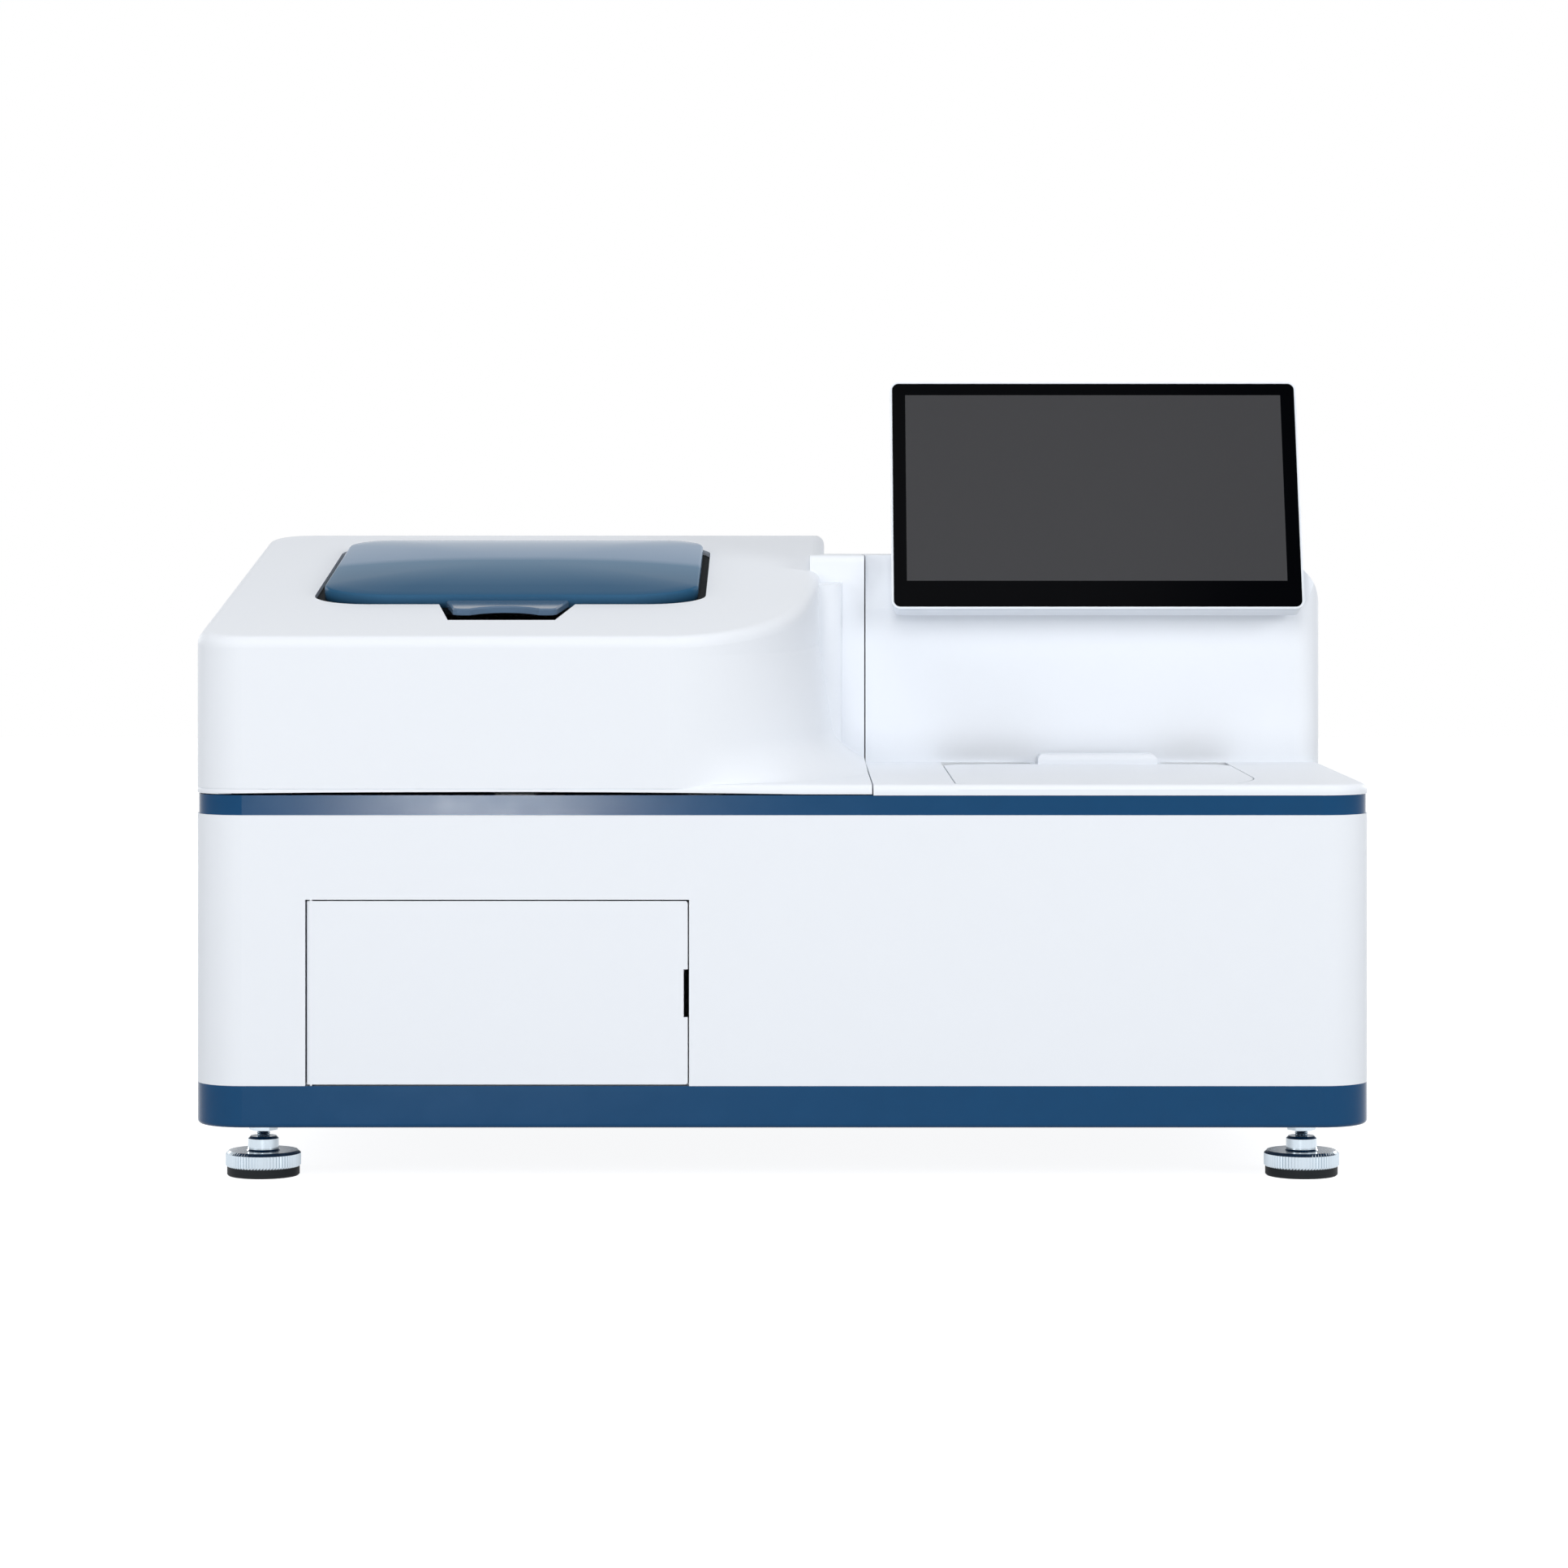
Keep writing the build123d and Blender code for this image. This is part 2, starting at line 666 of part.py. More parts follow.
def right_cover():
    """Fixed cover with the hatch's opening and the ears for its pin."""
    wall = 3.5
    body = right_form() - right_form(wall)
    ledge = Pos(0, 0, seat_z) * extrude(hatch_plan(9), hatch_skin_z - seat_z)
    body += ledge - brick(-case_w, case_w, hatch_rear_y - 10, case_w, 0, case_w)
    body -= Pos(0, 0, seat_z - 1) * extrude(hatch_plan(-hatch_ledge), 20)
    body -= Pos(0, 0, hatch_skin_z) * extrude(hatch_plan(hatch_gap), 20)
    wedge_y = column_y - 5
    body -= brick(hatch_x0 - hatch_gap, hatch_x1 + hatch_gap, 0, wedge_y, seat_z - 1, deck_z + 1)
    body += brick(hatch_x0 - 9, hatch_x0 - hatch_gap, 0, wedge_y, seat_z, hatch_skin_z)
    body += brick(hatch_x1 + hatch_gap, hatch_x1 + 9, 0, wedge_y, seat_z, hatch_skin_z)
    half = hatch_boss_w / 2
    mid = hatch_mid()
    for x in (mid - half - 5, mid + half + 0.5):
        body += brick(x, x + 4.5, hatch_axis_y - 4.5, wedge_y + 1, seat_z, deck_z - 0.3)
    body -= brick(mid - half - 0.5, mid + half + 0.5, 20, column_y - 0.6, seat_z - 1, deck_z + 1)
    body -= rod_x(mid - half - 6, mid + half + 6, hatch_axis_y, hatch_axis_z, hatch_pin_r + fixed)
    return body


def hatch_lid():
    """Flap over the loading bay, with a rib underneath and its hinge boss."""
    body = Pos(0, 0, hatch_skin_z + 0.2) * extrude(hatch_plan(0), hatch_t)
    rib = extrude(hatch_plan(-hatch_ledge - 2), 4) - extrude(hatch_plan(-hatch_ledge - 4), 4)
    body += Pos(0, 0, hatch_skin_z + 0.2 - 3.5) * rib
    half = hatch_boss_w / 2
    mid = hatch_mid()
    low, high = hatch_axis_y - 5.5, hatch_axis_y + 8
    top = hatch_axis_z + 12
    tab = brick(mid - half, mid + half, hatch_rear_y - 12, high, hatch_axis_z, top)
    rim = [e for e in tab.edges() if e.center().Z > top - 0.1]
    tab = fillet(rim, 4.9)
    tab += rod_x(mid - half, mid + half, hatch_axis_y, hatch_axis_z, hatch_boss_r)
    tab -= brick(mid - half - 1, mid + half + 1, hatch_rear_y - 20, low - 1, 0, hatch_skin_z + 0.2)
    body += tab
    body -= rod_x(mid - half - 1, mid + half + 1, hatch_axis_y, hatch_axis_z, hatch_pin_r + running)
    return body


def hatch_hinge_pin():
    """Pin through the hatch's boss, held in two ears."""
    half = hatch_boss_w / 2 + 4.8
    return rod_x(hatch_mid() - half, hatch_mid() + half, hatch_axis_y, hatch_axis_z, hatch_pin_r)


def front_door():
    """Hinged door with a rounded hinge edge, a stiffening rib and a finger slot."""
    px, py = door_axis()
    inner = front_y + door_t
    body = brick(px, door_x1, front_y, inner, door_z0, door_z1)
    body = fillet([e for e in body.edges().filter_by(Axis.Y) if e.center().X > 0 + door_x1 - 1], 2)
    body += rod(px, py, door_z0, door_z1, door_knuckle_r)
    rib = brick(px + 12, door_x1 - 12, inner - 0.5, inner + 3, door_z0 + 12, door_z1 - 12)
    rib -= brick(px + 16, door_x1 - 16, inner, inner + 4, door_z0 + 16, door_z1 - 16)
    body += rib
    body -= brick(door_x1 - 3, door_x1 + 1, front_y - 1, front_y + 9, 122, 157)
    for z in (door_z0, door_z1):
        body -= Pos(px, py, z) * Cylinder(door_pin_r + running, 20)
    return body


def door_hinge_pins():
    """Upper and lower pins of the door."""
    px, py = door_axis()
    low = rod(px, py, band_z - flange_t, door_z0 + 9, door_pin_r)
    high = rod(px, py, door_z1 - 9, door_z1 + door_gap + 9, door_pin_r)
    return Compound(children=[low, high])


def bottle_bay():
    """Sheet liner behind the door, open at the front."""
    x0, x1 = door_x0 - 6, door_x1 + 6
    wall_y = front_y + housing_wall
    y0 = wall_y + 4
    y1 = y0 + bay_depth
    top = door_z1 + 9
    body = brick(x0, x1, y0, y1, band_z, top)
    body -= brick(x0 + bay_wall, x1 - bay_wall, y0 - 1, y1 - bay_wall, band_z + bay_wall, top - bay_wall)
    px, py = door_axis()
    body -= brick(px - 7.5, px + 7.5, y0 - 1, wall_y + 7.5, door_z1 + door_gap - 0.5, top + 1)
    return body


def door_catch():
    """Magnet block under the liner's ceiling."""
    top = door_z1 + 9 - bay_wall
    y = front_y + door_t + 3 + seat_gap
    body = brick(-112, -88, y, y + 15, door_z1 - 24, top)
    return body - brick(-108, -92, y - 1, y + 1.5, door_z1 - 20, door_z1 - 14)


def bottle(x):
    """A square bottle with sloping shoulders and a neck."""
    z0 = band_z + bay_wall
    y = front_y + housing_wall + bottle_d
    body = Pos(x, y, z0) * extrude(RectangleRounded(bottle_w, bottle_d, bottle_r), bottle_h)
    body = chamfer(body.faces().sort_by(Axis.Z)[-1].edges(), 9)
    return body + rod(x, y, z0 + bottle_h - 2, z0 + bottle_h + neck_h, neck_r)


def bottle_cap(x):
    """A faceted cap over the bottle's neck."""
    z0 = band_z + bay_wall + bottle_h + neck_h
    y = front_y + housing_wall + bottle_d
    cap = Pos(x, y, z0) * extrude(RegularPolygon(cap_r, 16), cap_h)
    return chamfer(cap.faces().sort_by(Axis.Z)[-1].edges(), 2)


# ---- screen ----

knee_plane = Plane(
    (screen_x, column_y, column_knee_z),
    x_dir=(1, 0, 0),
    z_dir=(0, -math.cos(math.radians(column_lean)), math.sin(math.radians(column_lean))),
)


def screen_block(grow, low, high):
    """A rounded plate of the screen's outline between two distances from the slope."""
    plan = RectangleRounded(screen_w + 2 * grow, screen_h + 2 * grow, max(screen_r + grow, 1.0))
    return Pos(0, screen_low + screen_h / 2, low) * extrude(plan, high - low)


def screen_housing():
    """Rear case of the screen with its mounting boss on the slope."""
    body = screen_block(-1.5, screen_back, screen_out - 6)
    body = chamfer(body.faces().sort_by(Axis.Z)[0].edges(), 4)
    body -= screen_block(-9, screen_out - 11, screen_out)
    boss = Pos(0, 22, 0) * extrude(RectangleRounded(160, 36, 5), screen_back + 1)
    return knee_plane * (body + boss)


def screen_bezel():
    """Pale rim round the glass."""
    outer = screen_block(0, screen_out - 6, screen_out - 0.6)
    return knee_plane * (outer - screen_block(-rim_w, screen_out - 7, screen_out + 1))


def screen_glass():
    """Black touch glass."""
    return knee_plane * screen_block(-rim_w - 0.1, screen_out - 3.5, screen_out)


def display_panel():
    """Display behind the glass."""
    body = screen_block(-9.2, screen_out - 11, screen_out - 3.5)
    return knee_plane * body


# ---- feet ----

def foot_nuts():
    """Lock nuts against the tray."""
    nuts = []
    for x, y in foot_spots:
        nut = Pos(x, y, base_z - nut_h) * extrude(RegularPolygon(nut_r, 6), nut_h)
        nuts.append(nut - rod(x, y, base_z - nut_h - 1, base_z + 1, stud_r + running))
    return Compound(children=nuts)


def foot_stud(x, y):
    """Knurled disc with its collar and threaded stud."""
    disc = Pos(x, y, pad_h) * extrude(RegularPolygon(disc_r, knurls), disc_top - pad_h)
    disc = chamfer(disc.faces().sort_by(Axis.Z)[-1].edges(), 1.6)
    hub = rod(x, y, disc_top - 1, collar_top, collar_r)
    hub = chamfer(hub.faces().sort_by(Axis.Z)[-1].edges(), 2)
    stud = rod(x, y, collar_top - 1, base_z + stud_into, stud_r)
    pivot = rod(x, y, pad_h - 3.5, pad_h + 1, 8.0)
    return disc + hub + stud + pivot


def foot_pad(x, y):
    """Rubber pad under the disc."""
    pad = rod(x, y, 0, pad_h, pad_r)
    pad = chamfer(pad.faces().sort_by(Axis.Z)[0].edges(), 1.0)
    return pad - rod(x, y, pad_h - 3.8, pad_h + 1, 8.0 + running)


# ---- mechanism ----

def work_deck():
    """Aluminium plate that carries the mechanism."""
    plan = RectangleRounded(case_w - 30, case_d - 30, corner_r - 6)
    body = Pos(0, mid_y, work_z - deck_t) * extrude(plan, deck_t)
    for x in (-330.0, 40.0, side_x - 55):
        body -= Pos(x, -150, work_z - deck_t / 2) * Box(30, 60, 2 * deck_t)
    return body


def deck_posts():
    """Pillars from the tray to the work deck."""
    low, high = base_z + tray_wall, work_z - deck_t
    return Compound(children=[rod(x, y, low, high, post_r) for x, y in post_spots])


def carriage_rails():
    """Two profiled rails with a waist."""
    rails = []
    for side in (-1, 1):
        y = track_y + side * rail_pitch / 2
        rail = brick(track_x0, track_x1, y - rail_w / 2, y + rail_w / 2, work_z, work_z + rail_h)
        for edge in (-1, 1):
            rail -= rod_x(track_x0 - 1, track_x1 + 1, y + edge * rail_w / 2, work_z + rail_h / 2 - 1, 1.5)
        rails.append(rail)
    return Compound(children=rails)


def lead_screw():
    """Carriage screw with a turned end."""
    thread = rod_x(screw_x0, screw_x1, track_y, screw_z, screw_r)
    return thread + rod_x(screw_x1, screw_x1 + 16.7, track_y, screw_z, screw_r - 1.5)


def screw_bearings():
    """Bearing blocks at both ends of the screw."""
    blocks = []
    for x in (screw_x0, screw_x1):
        block = brick(x - 6, x + 6, track_y - 22, track_y + 22, work_z, screw_z + 14)
        block = fillet([e for e in block.edges().filter_by(Axis.X) if e.center().Z > screw_z], 8)
        hole = screw_r + running
        blocks.append(block - rod_x(x - 7, x + 7, track_y, screw_z, hole))
    return Compound(children=blocks)


def stepper(depth, size):
    """A square motor with cut corners, lying along Z with its face at zero."""
    body = Pos(0, 0, depth / 2) * Box(size, size, depth)
    return chamfer(body.edges().filter_by(Axis.Z), size * 0.09)


def carriage_motor():
    """Stepper motor on its plate at the right end of the screw."""
    x0, x1 = screw_x1 + 13, screw_x1 + 17
    plate = brick(x0, x1, track_y - 26, track_y + 26, work_z, screw_z + 26)
    plate -= rod_x(x0 - 2, x1 + 1, track_y, screw_z, screw_r + 1)
    body = Pos(x1, track_y, screw_z) * Rot(0, 90, 0) * stepper(40, motor_s)
    return plate + body - rod_x(x0 - 2, x1 + 6, track_y, screw_z, screw_r + 1)


def plate_carriage():
    """Bridge on two grooved shoes, with the nut in its middle and a nest on top."""
    x0, x1 = load_x - carriage_l / 2, load_x + carriage_l / 2
    body = brick(x0, x1, track_y - 70, track_y + 70, nest_z - 6, nest_z)
    for side in (-1, 1):
        y = track_y + side * rail_pitch / 2
        body += brick(x0, x1, y - 12, y + 12, work_z + 1, nest_z - 3)
        half = rail_w / 2 + running
        body -= brick(x0 - 1, x1 + 1, y - half, y + half, work_z, work_z + rail_h + running)
    body += brick(x0 + 30, x1 - 30, track_y - 9, track_y + 9, screw_z - 8, nest_z - 3)
    body -= rod_x(x0, x1, track_y, screw_z, screw_r + running)
    for sx in (-1, 1):
        for sy in (-1, 1):
            cx, cy = load_x + sx * 43.5, track_y + sy * 64.6
            lip = brick(cx - 8, cx + 8, cy - 4.2, cy + 4.2, nest_z, nest_z + 4)
            lip += Pos(load_x + sx * 47.6, track_y + sy * 56, nest_z + 2) * Box(8.4, 16, 4)
            lip -= Pos(load_x, track_y, nest_z + 2) * Box(plate_w + 0.4, plate_d + 0.4, 8)
            body += lip
    return body


def microplate():
    """Ninety-six wells in a skirted plate, 85.5 by 127.8 mm."""
    body = Pos(load_x, track_y, nest_z + 1.25) * Box(plate_w, plate_d, 2.5)
    body += Pos(load_x, track_y, nest_z + 7.2) * Box(82.0, 124.2, 14.2)
    wells = []
    for i in range(8):
        for j in range(12):
            x = load_x + (i - 3.5) * well_pitch
            y = track_y + (j - 5.5) * well_pitch
            wells.append(Pos(x, y) * RegularPolygon(3.6, 6))
    grid = Sketch() + wells
    return body - Pos(0, 0, nest_z + 14.3 - 10.9) * extrude(grid, 12)


def gantry_frame():
    """Two posts and the beam that the read head runs on."""
    y0, y1 = track_y - 125, track_y + 163
    top = head_beam_z + beam_t + 26
    body = brick(head_x - 15, head_x + 15, y0, y0 + 12, work_z, top)
    body += brick(head_x - 15, head_x + 15, y1, y1 + 12, work_z, top)
    body += brick(head_x - 15, head_x + 15, y0, y1 + 12, head_beam_z, head_beam_z + beam_t)
    for y in (y0 - 14, y1 + 12):
        foot = brick(head_x - 15, head_x + 15, y, y + 14, work_z, work_z + 5)
        body += foot
    body -= rod_y(head_x, y0 - 1, y1 + 13, head_screw_z, 3 + running)
    return body


def read_head():
    """Optical head hugging the beam, with its lens barrel pointing down."""
    y0, y1 = track_y - 30, track_y + 30
    body = brick(head_x - 32, head_x + 32, y0, y1, head_beam_z - 20, head_screw_z + 14)
    body = fillet(body.edges().filter_by(Axis.Z), 5)
    body += rod(head_x, track_y, head_beam_z - 36, head_beam_z - 18, 13)
    body -= rod(head_x, track_y, head_beam_z - 37, head_beam_z - 30, 8)
    half = 15 + running
    z0, z1 = head_beam_z - running, head_beam_z + beam_t + running
    body -= brick(head_x - half, head_x + half, y0 - 1, y1 + 1, z0, z1)
    body -= rod_y(head_x, y0 - 1, y1 + 1, head_screw_z, 3 + running)
    return body


def head_screw():
    """Screw of the read head."""
    return rod_y(head_x, track_y - 125, track_y + 174.7, head_screw_z, 3)


def head_motor():
    """Small stepper at the rear end of the beam."""
    y = track_y + 175
    return Pos(head_x, y, head_screw_z) * Rot(-90, 0, 0) * stepper(30, 32)


def wash_bridge():
    """Portal over the track with the lift housing on its beam."""
    y0, y1 = track_y - wash_half - 12, track_y + wash_half
    body = brick(wash_x - 15, wash_x + 15, y0, y0 + 12, work_z, head_beam_z + beam_t)
    body += brick(wash_x - 15, wash_x + 15, y1, y1 + 12, work_z, head_beam_z + beam_t)
    body += brick(wash_x - 15, wash_x + 15, y0, y1 + 12, head_beam_z, head_beam_z + beam_t)
    top = head_beam_z + beam_t
    body += brick(wash_x - 14, wash_x + 14, track_y - 16, track_y + 16, top, top + 28)
    for y in (track_y - guide_reach, track_y + guide_reach):
        body -= rod(wash_x, y, head_beam_z - 1, head_beam_z + beam_t + 1, 3 + running)
    body -= rod(wash_x, track_y, head_beam_z - 1, head_beam_z + beam_t + 20, 4 + running)
    return body


def wash_manifold():
    """Eight-channel wash comb on two guide rods and a lifting rod."""
    body = brick(wash_x - 9, wash_x + 9, track_y - 45, track_y + 45, wash_block_z, wash_block_z + 12)
    body = fillet(body.edges().filter_by(Axis.Z), 3)
    for y in (track_y - guide_reach, track_y + guide_reach):
        body += rod(wash_x, y, wash_block_z + 10, head_beam_z + beam_t + 18, 3)
    body += rod(wash_x, track_y, wash_block_z + 10, head_beam_z + beam_t + 6, 4)
    for i in range(8):
        y = track_y + (i - 3.5) * well_pitch
        body += Pos(wash_x, y, wash_block_z - 18) * extrude(RegularPolygon(1.0, 6), 19)
    return body


def lamp_housing():
    """Lamp block with cooling fins."""
    x0, x1, y0, y1 = wheel_x - 36, wheel_x + 34, 130, 215
    body = brick(x0, x1, y0, y1, work_z, work_z + 58)
    for i in range(8):
        x = x0 + 3 + i * 9.2
        body += brick(x, x + 3, y0 + 4, y1 - 4, work_z + 57, work_z + 74)
    body += rod_y(wheel_x, 118, 131, wheel_z - 24, 8)
    return body


def filter_motor():
    """Wheel motor on its foot, with the shaft that carries the wheel."""
    body = Pos(wheel_x, 98, wheel_z) * Rot(90, 0, 0) * stepper(30, 34)
    body += brick(wheel_x - 17, wheel_x + 17, 68, 98, work_z, wheel_z - 15)
    body += brick(wheel_x - 26, wheel_x + 26, 70, 96, work_z, work_z + 5)
    return body + rod_y(wheel_x, 97, 113, wheel_z, 2.5)


def filter_wheel():
    """Wheel with a hub and its filter apertures."""
    body = rod_y(wheel_x, 103, 107, wheel_z, wheel_r) + rod_y(wheel_x, 99, 107, wheel_z, 8)
    for i in range(filters):
        a = 2 * math.pi * i / filters
        body -= rod_y(wheel_x + 24 * math.cos(a), 102, 108, wheel_z + 24 * math.sin(a), 8)
    return body - rod_y(wheel_x, 98, 108, wheel_z, 2.5 + running)


def power_supply():
    """Vented supply on the tray."""
    z0 = base_z + tray_wall
    body = brick(220, 350, 30, 190, z0, z0 + 50)
    for i in range(9):
        body -= brick(232 + 13 * i, 238 + 13 * i, 29, 32, z0 + 10, z0 + 40)
    return body


def main_board():
    """Controller board with its parts, on the tray's four bosses."""
    body = brick(-board_w / 2, board_w / 2, board_y0, board_y1, board_z, board_z + board_t)
    top = board_z + board_t - 0.2
    for x, y, w, d, h in board_parts:
        body += brick(x - w / 2, x + w / 2, y - d / 2, y + d / 2, top, top + h)
    return body


def wash_pump():
    """Peristaltic pump with its drive."""
    z0 = base_z + tray_wall
    body = brick(60, 150, -130, -50, z0, z0 + 8)
    body += brick(72, 138, -112, -68, z0 + 7, z0 + 62)
    body += rod_y(105, -160, -111, z0 + 36, 26)
    return body + rod_y(105, -69, -40, z0 + 36, 18)


# ---- rear services ----

def fan_frame():
    """Square fan frame with struts and the bearing stub."""
    y0, y1 = rear_y - 25, rear_y
    h = fan_s / 2
    body = brick(fan_x - h, fan_x + h, y0, y1, fan_z - h, fan_z + h)
    body = fillet(body.edges().filter_by(Axis.Y), 5)
    body -= rod_y(fan_x, y0 - 1, y1 + 1, fan_z, h - 3)
    for a in (45, 135):
        strut = Pos(fan_x, y0 + 1.5, fan_z) * Rot(0, a, 0) * Box(2 * h - 4, 3, 5)
        body += strut
    body += rod_y(fan_x, y0, y0 + 3, fan_z, 18)
    return body + rod_y(fan_x, y0 + 2, y0 + 18, fan_z, 2)


def fan_rotor():
    """Hub with seven pitched blades."""
    y0, y1 = rear_y - 21, rear_y - 3
    body = rod_y(fan_x, y0, y1, fan_z, 18)
    for i in range(7):
        blade = Pos(0, 0, 29) * Rot(0, 0, 38) * Box(22, 1.8, 24)
        body += Pos(fan_x, (y0 + y1) / 2, fan_z) * Rot(0, 360 / 7 * i, 0) * blade
    return body - rod_y(fan_x, y0 - 1, y1 - 3, fan_z, 2 + running)


def mains_inlet():
    """Flanged inlet with three blades."""
    y1 = rear_y + panel_t
    body = brick(inlet_x - 25, inlet_x + 25, y1, y1 + 2.5, power_z - 12, power_z + 12)
    body = fillet(body.edges().filter_by(Axis.Y), 4)
    body += brick(inlet_x - 13.8, inlet_x + 13.8, rear_y - 18, y1 + 1, power_z - 9.8, power_z + 9.8)
    body -= brick(inlet_x - 12, inlet_x + 12, rear_y - 14, y1 + 4, power_z - 8, power_z + 8)
    for dx, dz in ((-7, -2), (0, 2), (7, -2)):
        x, z = inlet_x + dx, power_z + dz
        body += brick(x - 1, x + 1, rear_y - 15, y1 - 2, z - 2, z + 2)
    return body


def switch_frame():
    """Frame of the power switch with a round-backed pocket."""
    y1 = rear_y + panel_t
    body = brick(switch_x - 13, switch_x + 13, y1, y1 + 2, power_z - 17, power_z + 17)
    body = fillet(body.edges().filter_by(Axis.Y), 2)
    body += brick(switch_x - 9.8, switch_x + 9.8, rear_y - 14, y1 + 1, power_z - 13.8, power_z + 13.8)
    body -= rod_x(switch_x - 7.3, switch_x + 7.3, rear_y - 1, power_z, rocker_r + 0.3)
    half = rocker_r + 0.3
    body -= brick(switch_x - 7.3, switch_x + 7.3, rear_y - 1, y1 + 4, power_z - half, power_z + half)
    return body - rod_x(switch_x - 9, switch_x + 9, rear_y - 1, power_z, 1.5 + running)


def power_rocker():
    """Rocker with a shallow V face on its own trunnions."""
    y = rear_y - 1
    body = rod_x(switch_x - 7, switch_x + 7, y, power_z, rocker_r)
    for side in (-1, 1):
        cut = Pos(0, 13 + 5.2, 0) * Box(20, 26, 40)
        body -= Pos(switch_x, y, power_z) * Rot(side * 9, 0, 0) * Pos(0, 0, side * 20) * cut
    return body + rod_x(switch_x - 8.7, switch_x + 8.7, y, power_z, 1.5)


def build():
    """Every sub-part by name."""
    parts = {
        "base_tray": base_tray(),
        "lower_housing": lower_housing(),
        "accent_strip": accent_strip(),
        "rear_panel": rear_panel(),
        "data_ports": data_ports(),
        "left_cover": left_cover(),
        "window_frame": window_frame(),
        "window_lid": window_lid(),
        "lid_handle": lid_handle(),
        "lid_hinge_pins": lid_hinge_pins(),
        "cover_hinge_leaves": cover_hinge(True),
        "cover_hinge_arms": cover_hinge(False),
        "cover_hinge_pins": cover_hinge_pins(),
        "right_cover": right_cover(),
        "hatch_lid": hatch_lid(),
        "hatch_hinge_pin": hatch_hinge_pin(),
        "front_door": front_door(),
        "door_hinge_pins": door_hinge_pins(),
        "bottle_bay": bottle_bay(),
        "door_catch": door_catch(),
        "bottles": Compound(children=[bottle(x) for x in bottle_xs]),
        "bottle_caps": Compound(children=[bottle_cap(x) for x in bottle_xs]),
        "screen_housing": screen_housing(),
        "screen_bezel": screen_bezel(),
        "screen_glass": screen_glass(),
        "display_panel": display_panel(),
        "foot_nuts": foot_nuts(),
        "work_deck": work_deck(),
        "deck_posts": deck_posts(),
        "carriage_rails": carriage_rails(),
        "lead_screw": lead_screw(),
        "screw_bearings": screw_bearings(),
        "carriage_motor": carriage_motor(),
        "plate_carriage": plate_carriage(),
        "microplate": microplate(),
        "gantry_frame": gantry_frame(),
        "read_head": read_head(),
        "head_screw": head_screw(),
        "head_motor": head_motor(),
        "wash_bridge": wash_bridge(),
        "wash_manifold": wash_manifold(),
        "lamp_housing": lamp_housing(),
        "filter_motor": filter_motor(),
        "filter_wheel": filter_wheel(),
        "power_supply": power_supply(),
        "main_board": main_board(),
        "wash_pump": wash_pump(),
        "fan_frame": fan_frame(),
        "fan_rotor": fan_rotor(),
        "mains_inlet": mains_inlet(),
        "switch_frame": switch_frame(),
        "power_rocker": power_rocker(),
    }
    for i, (x, y) in enumerate(foot_spots, 1):
        parts[f"foot_stud_{i}"] = foot_stud(x, y)
        parts[f"foot_pad_{i}"] = foot_pad(x, y)
    return parts


if __name__ == "__main__":
    os.makedirs("parts", exist_ok=True)
    for name, shape in build().items():
        save(shape, name)
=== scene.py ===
import math

import bmesh
import bpy
from mathutils import Matrix, Vector


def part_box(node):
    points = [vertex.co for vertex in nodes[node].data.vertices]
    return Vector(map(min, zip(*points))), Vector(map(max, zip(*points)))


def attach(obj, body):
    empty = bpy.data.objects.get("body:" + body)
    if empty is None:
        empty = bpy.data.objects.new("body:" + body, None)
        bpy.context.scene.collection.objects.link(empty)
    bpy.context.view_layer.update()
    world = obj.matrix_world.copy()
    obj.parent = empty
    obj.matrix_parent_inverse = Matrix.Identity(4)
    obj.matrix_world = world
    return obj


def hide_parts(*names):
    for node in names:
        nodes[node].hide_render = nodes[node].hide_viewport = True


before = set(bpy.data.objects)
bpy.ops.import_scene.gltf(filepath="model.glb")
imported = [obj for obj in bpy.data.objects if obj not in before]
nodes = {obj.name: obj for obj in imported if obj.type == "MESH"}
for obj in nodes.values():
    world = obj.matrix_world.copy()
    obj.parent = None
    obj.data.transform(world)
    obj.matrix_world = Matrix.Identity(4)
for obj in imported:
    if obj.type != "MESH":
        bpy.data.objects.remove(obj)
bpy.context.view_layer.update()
scene = bpy.context.scene
print("frame loaded:", len(nodes), "nodes")

# Linear colours of the finishes.
tone = {
    "shellWhite": (0.80, 0.83, 0.875),
    "shellBlue": (0.0035, 0.054, 0.145),
    "smoke": (0.085, 0.140, 0.215),
    "charcoal": (0.022, 0.023, 0.026),
    "rubberBlack": (0.005, 0.007, 0.009),
    "glassBlack": (0.0002, 0.0004, 0.001),
    "displayGrey": (0.050, 0.050, 0.053),
    "rimSilver": (0.74, 0.78, 0.83),
    "steel": (0.52, 0.53, 0.55),
    "aluminium": (0.66, 0.67, 0.69),
    "chrome": (0.55, 0.62, 0.68),
    "boardGreen": (0.012, 0.115, 0.045),
    "brass": (0.72, 0.50, 0.20),
    "clearPlate": (0.82, 0.88, 0.91),
    "bottle": (0.72, 0.77, 0.80),
}


def newMaterial(name):
    mat = bpy.data.materials.new(name)
    mat.use_nodes = True
    tree = mat.node_tree
    return mat, tree, tree.nodes["Principled BSDF"]


def objectNoise(tree, scale, detail=3.0, stretch=(1, 1, 1)):
    coords = tree.nodes.new("ShaderNodeTexCoord")
    mapping = tree.nodes.new("ShaderNodeMapping")
    mapping.inputs["Scale"].default_value = stretch
    noise = tree.nodes.new("ShaderNodeTexNoise")
    noise.inputs["Scale"].default_value = scale
    noise.inputs["Detail"].default_value = detail
    tree.links.new(coords.outputs["Object"], mapping.inputs["Vector"])
    tree.links.new(mapping.outputs["Vector"], noise.inputs["Vector"])
    return noise


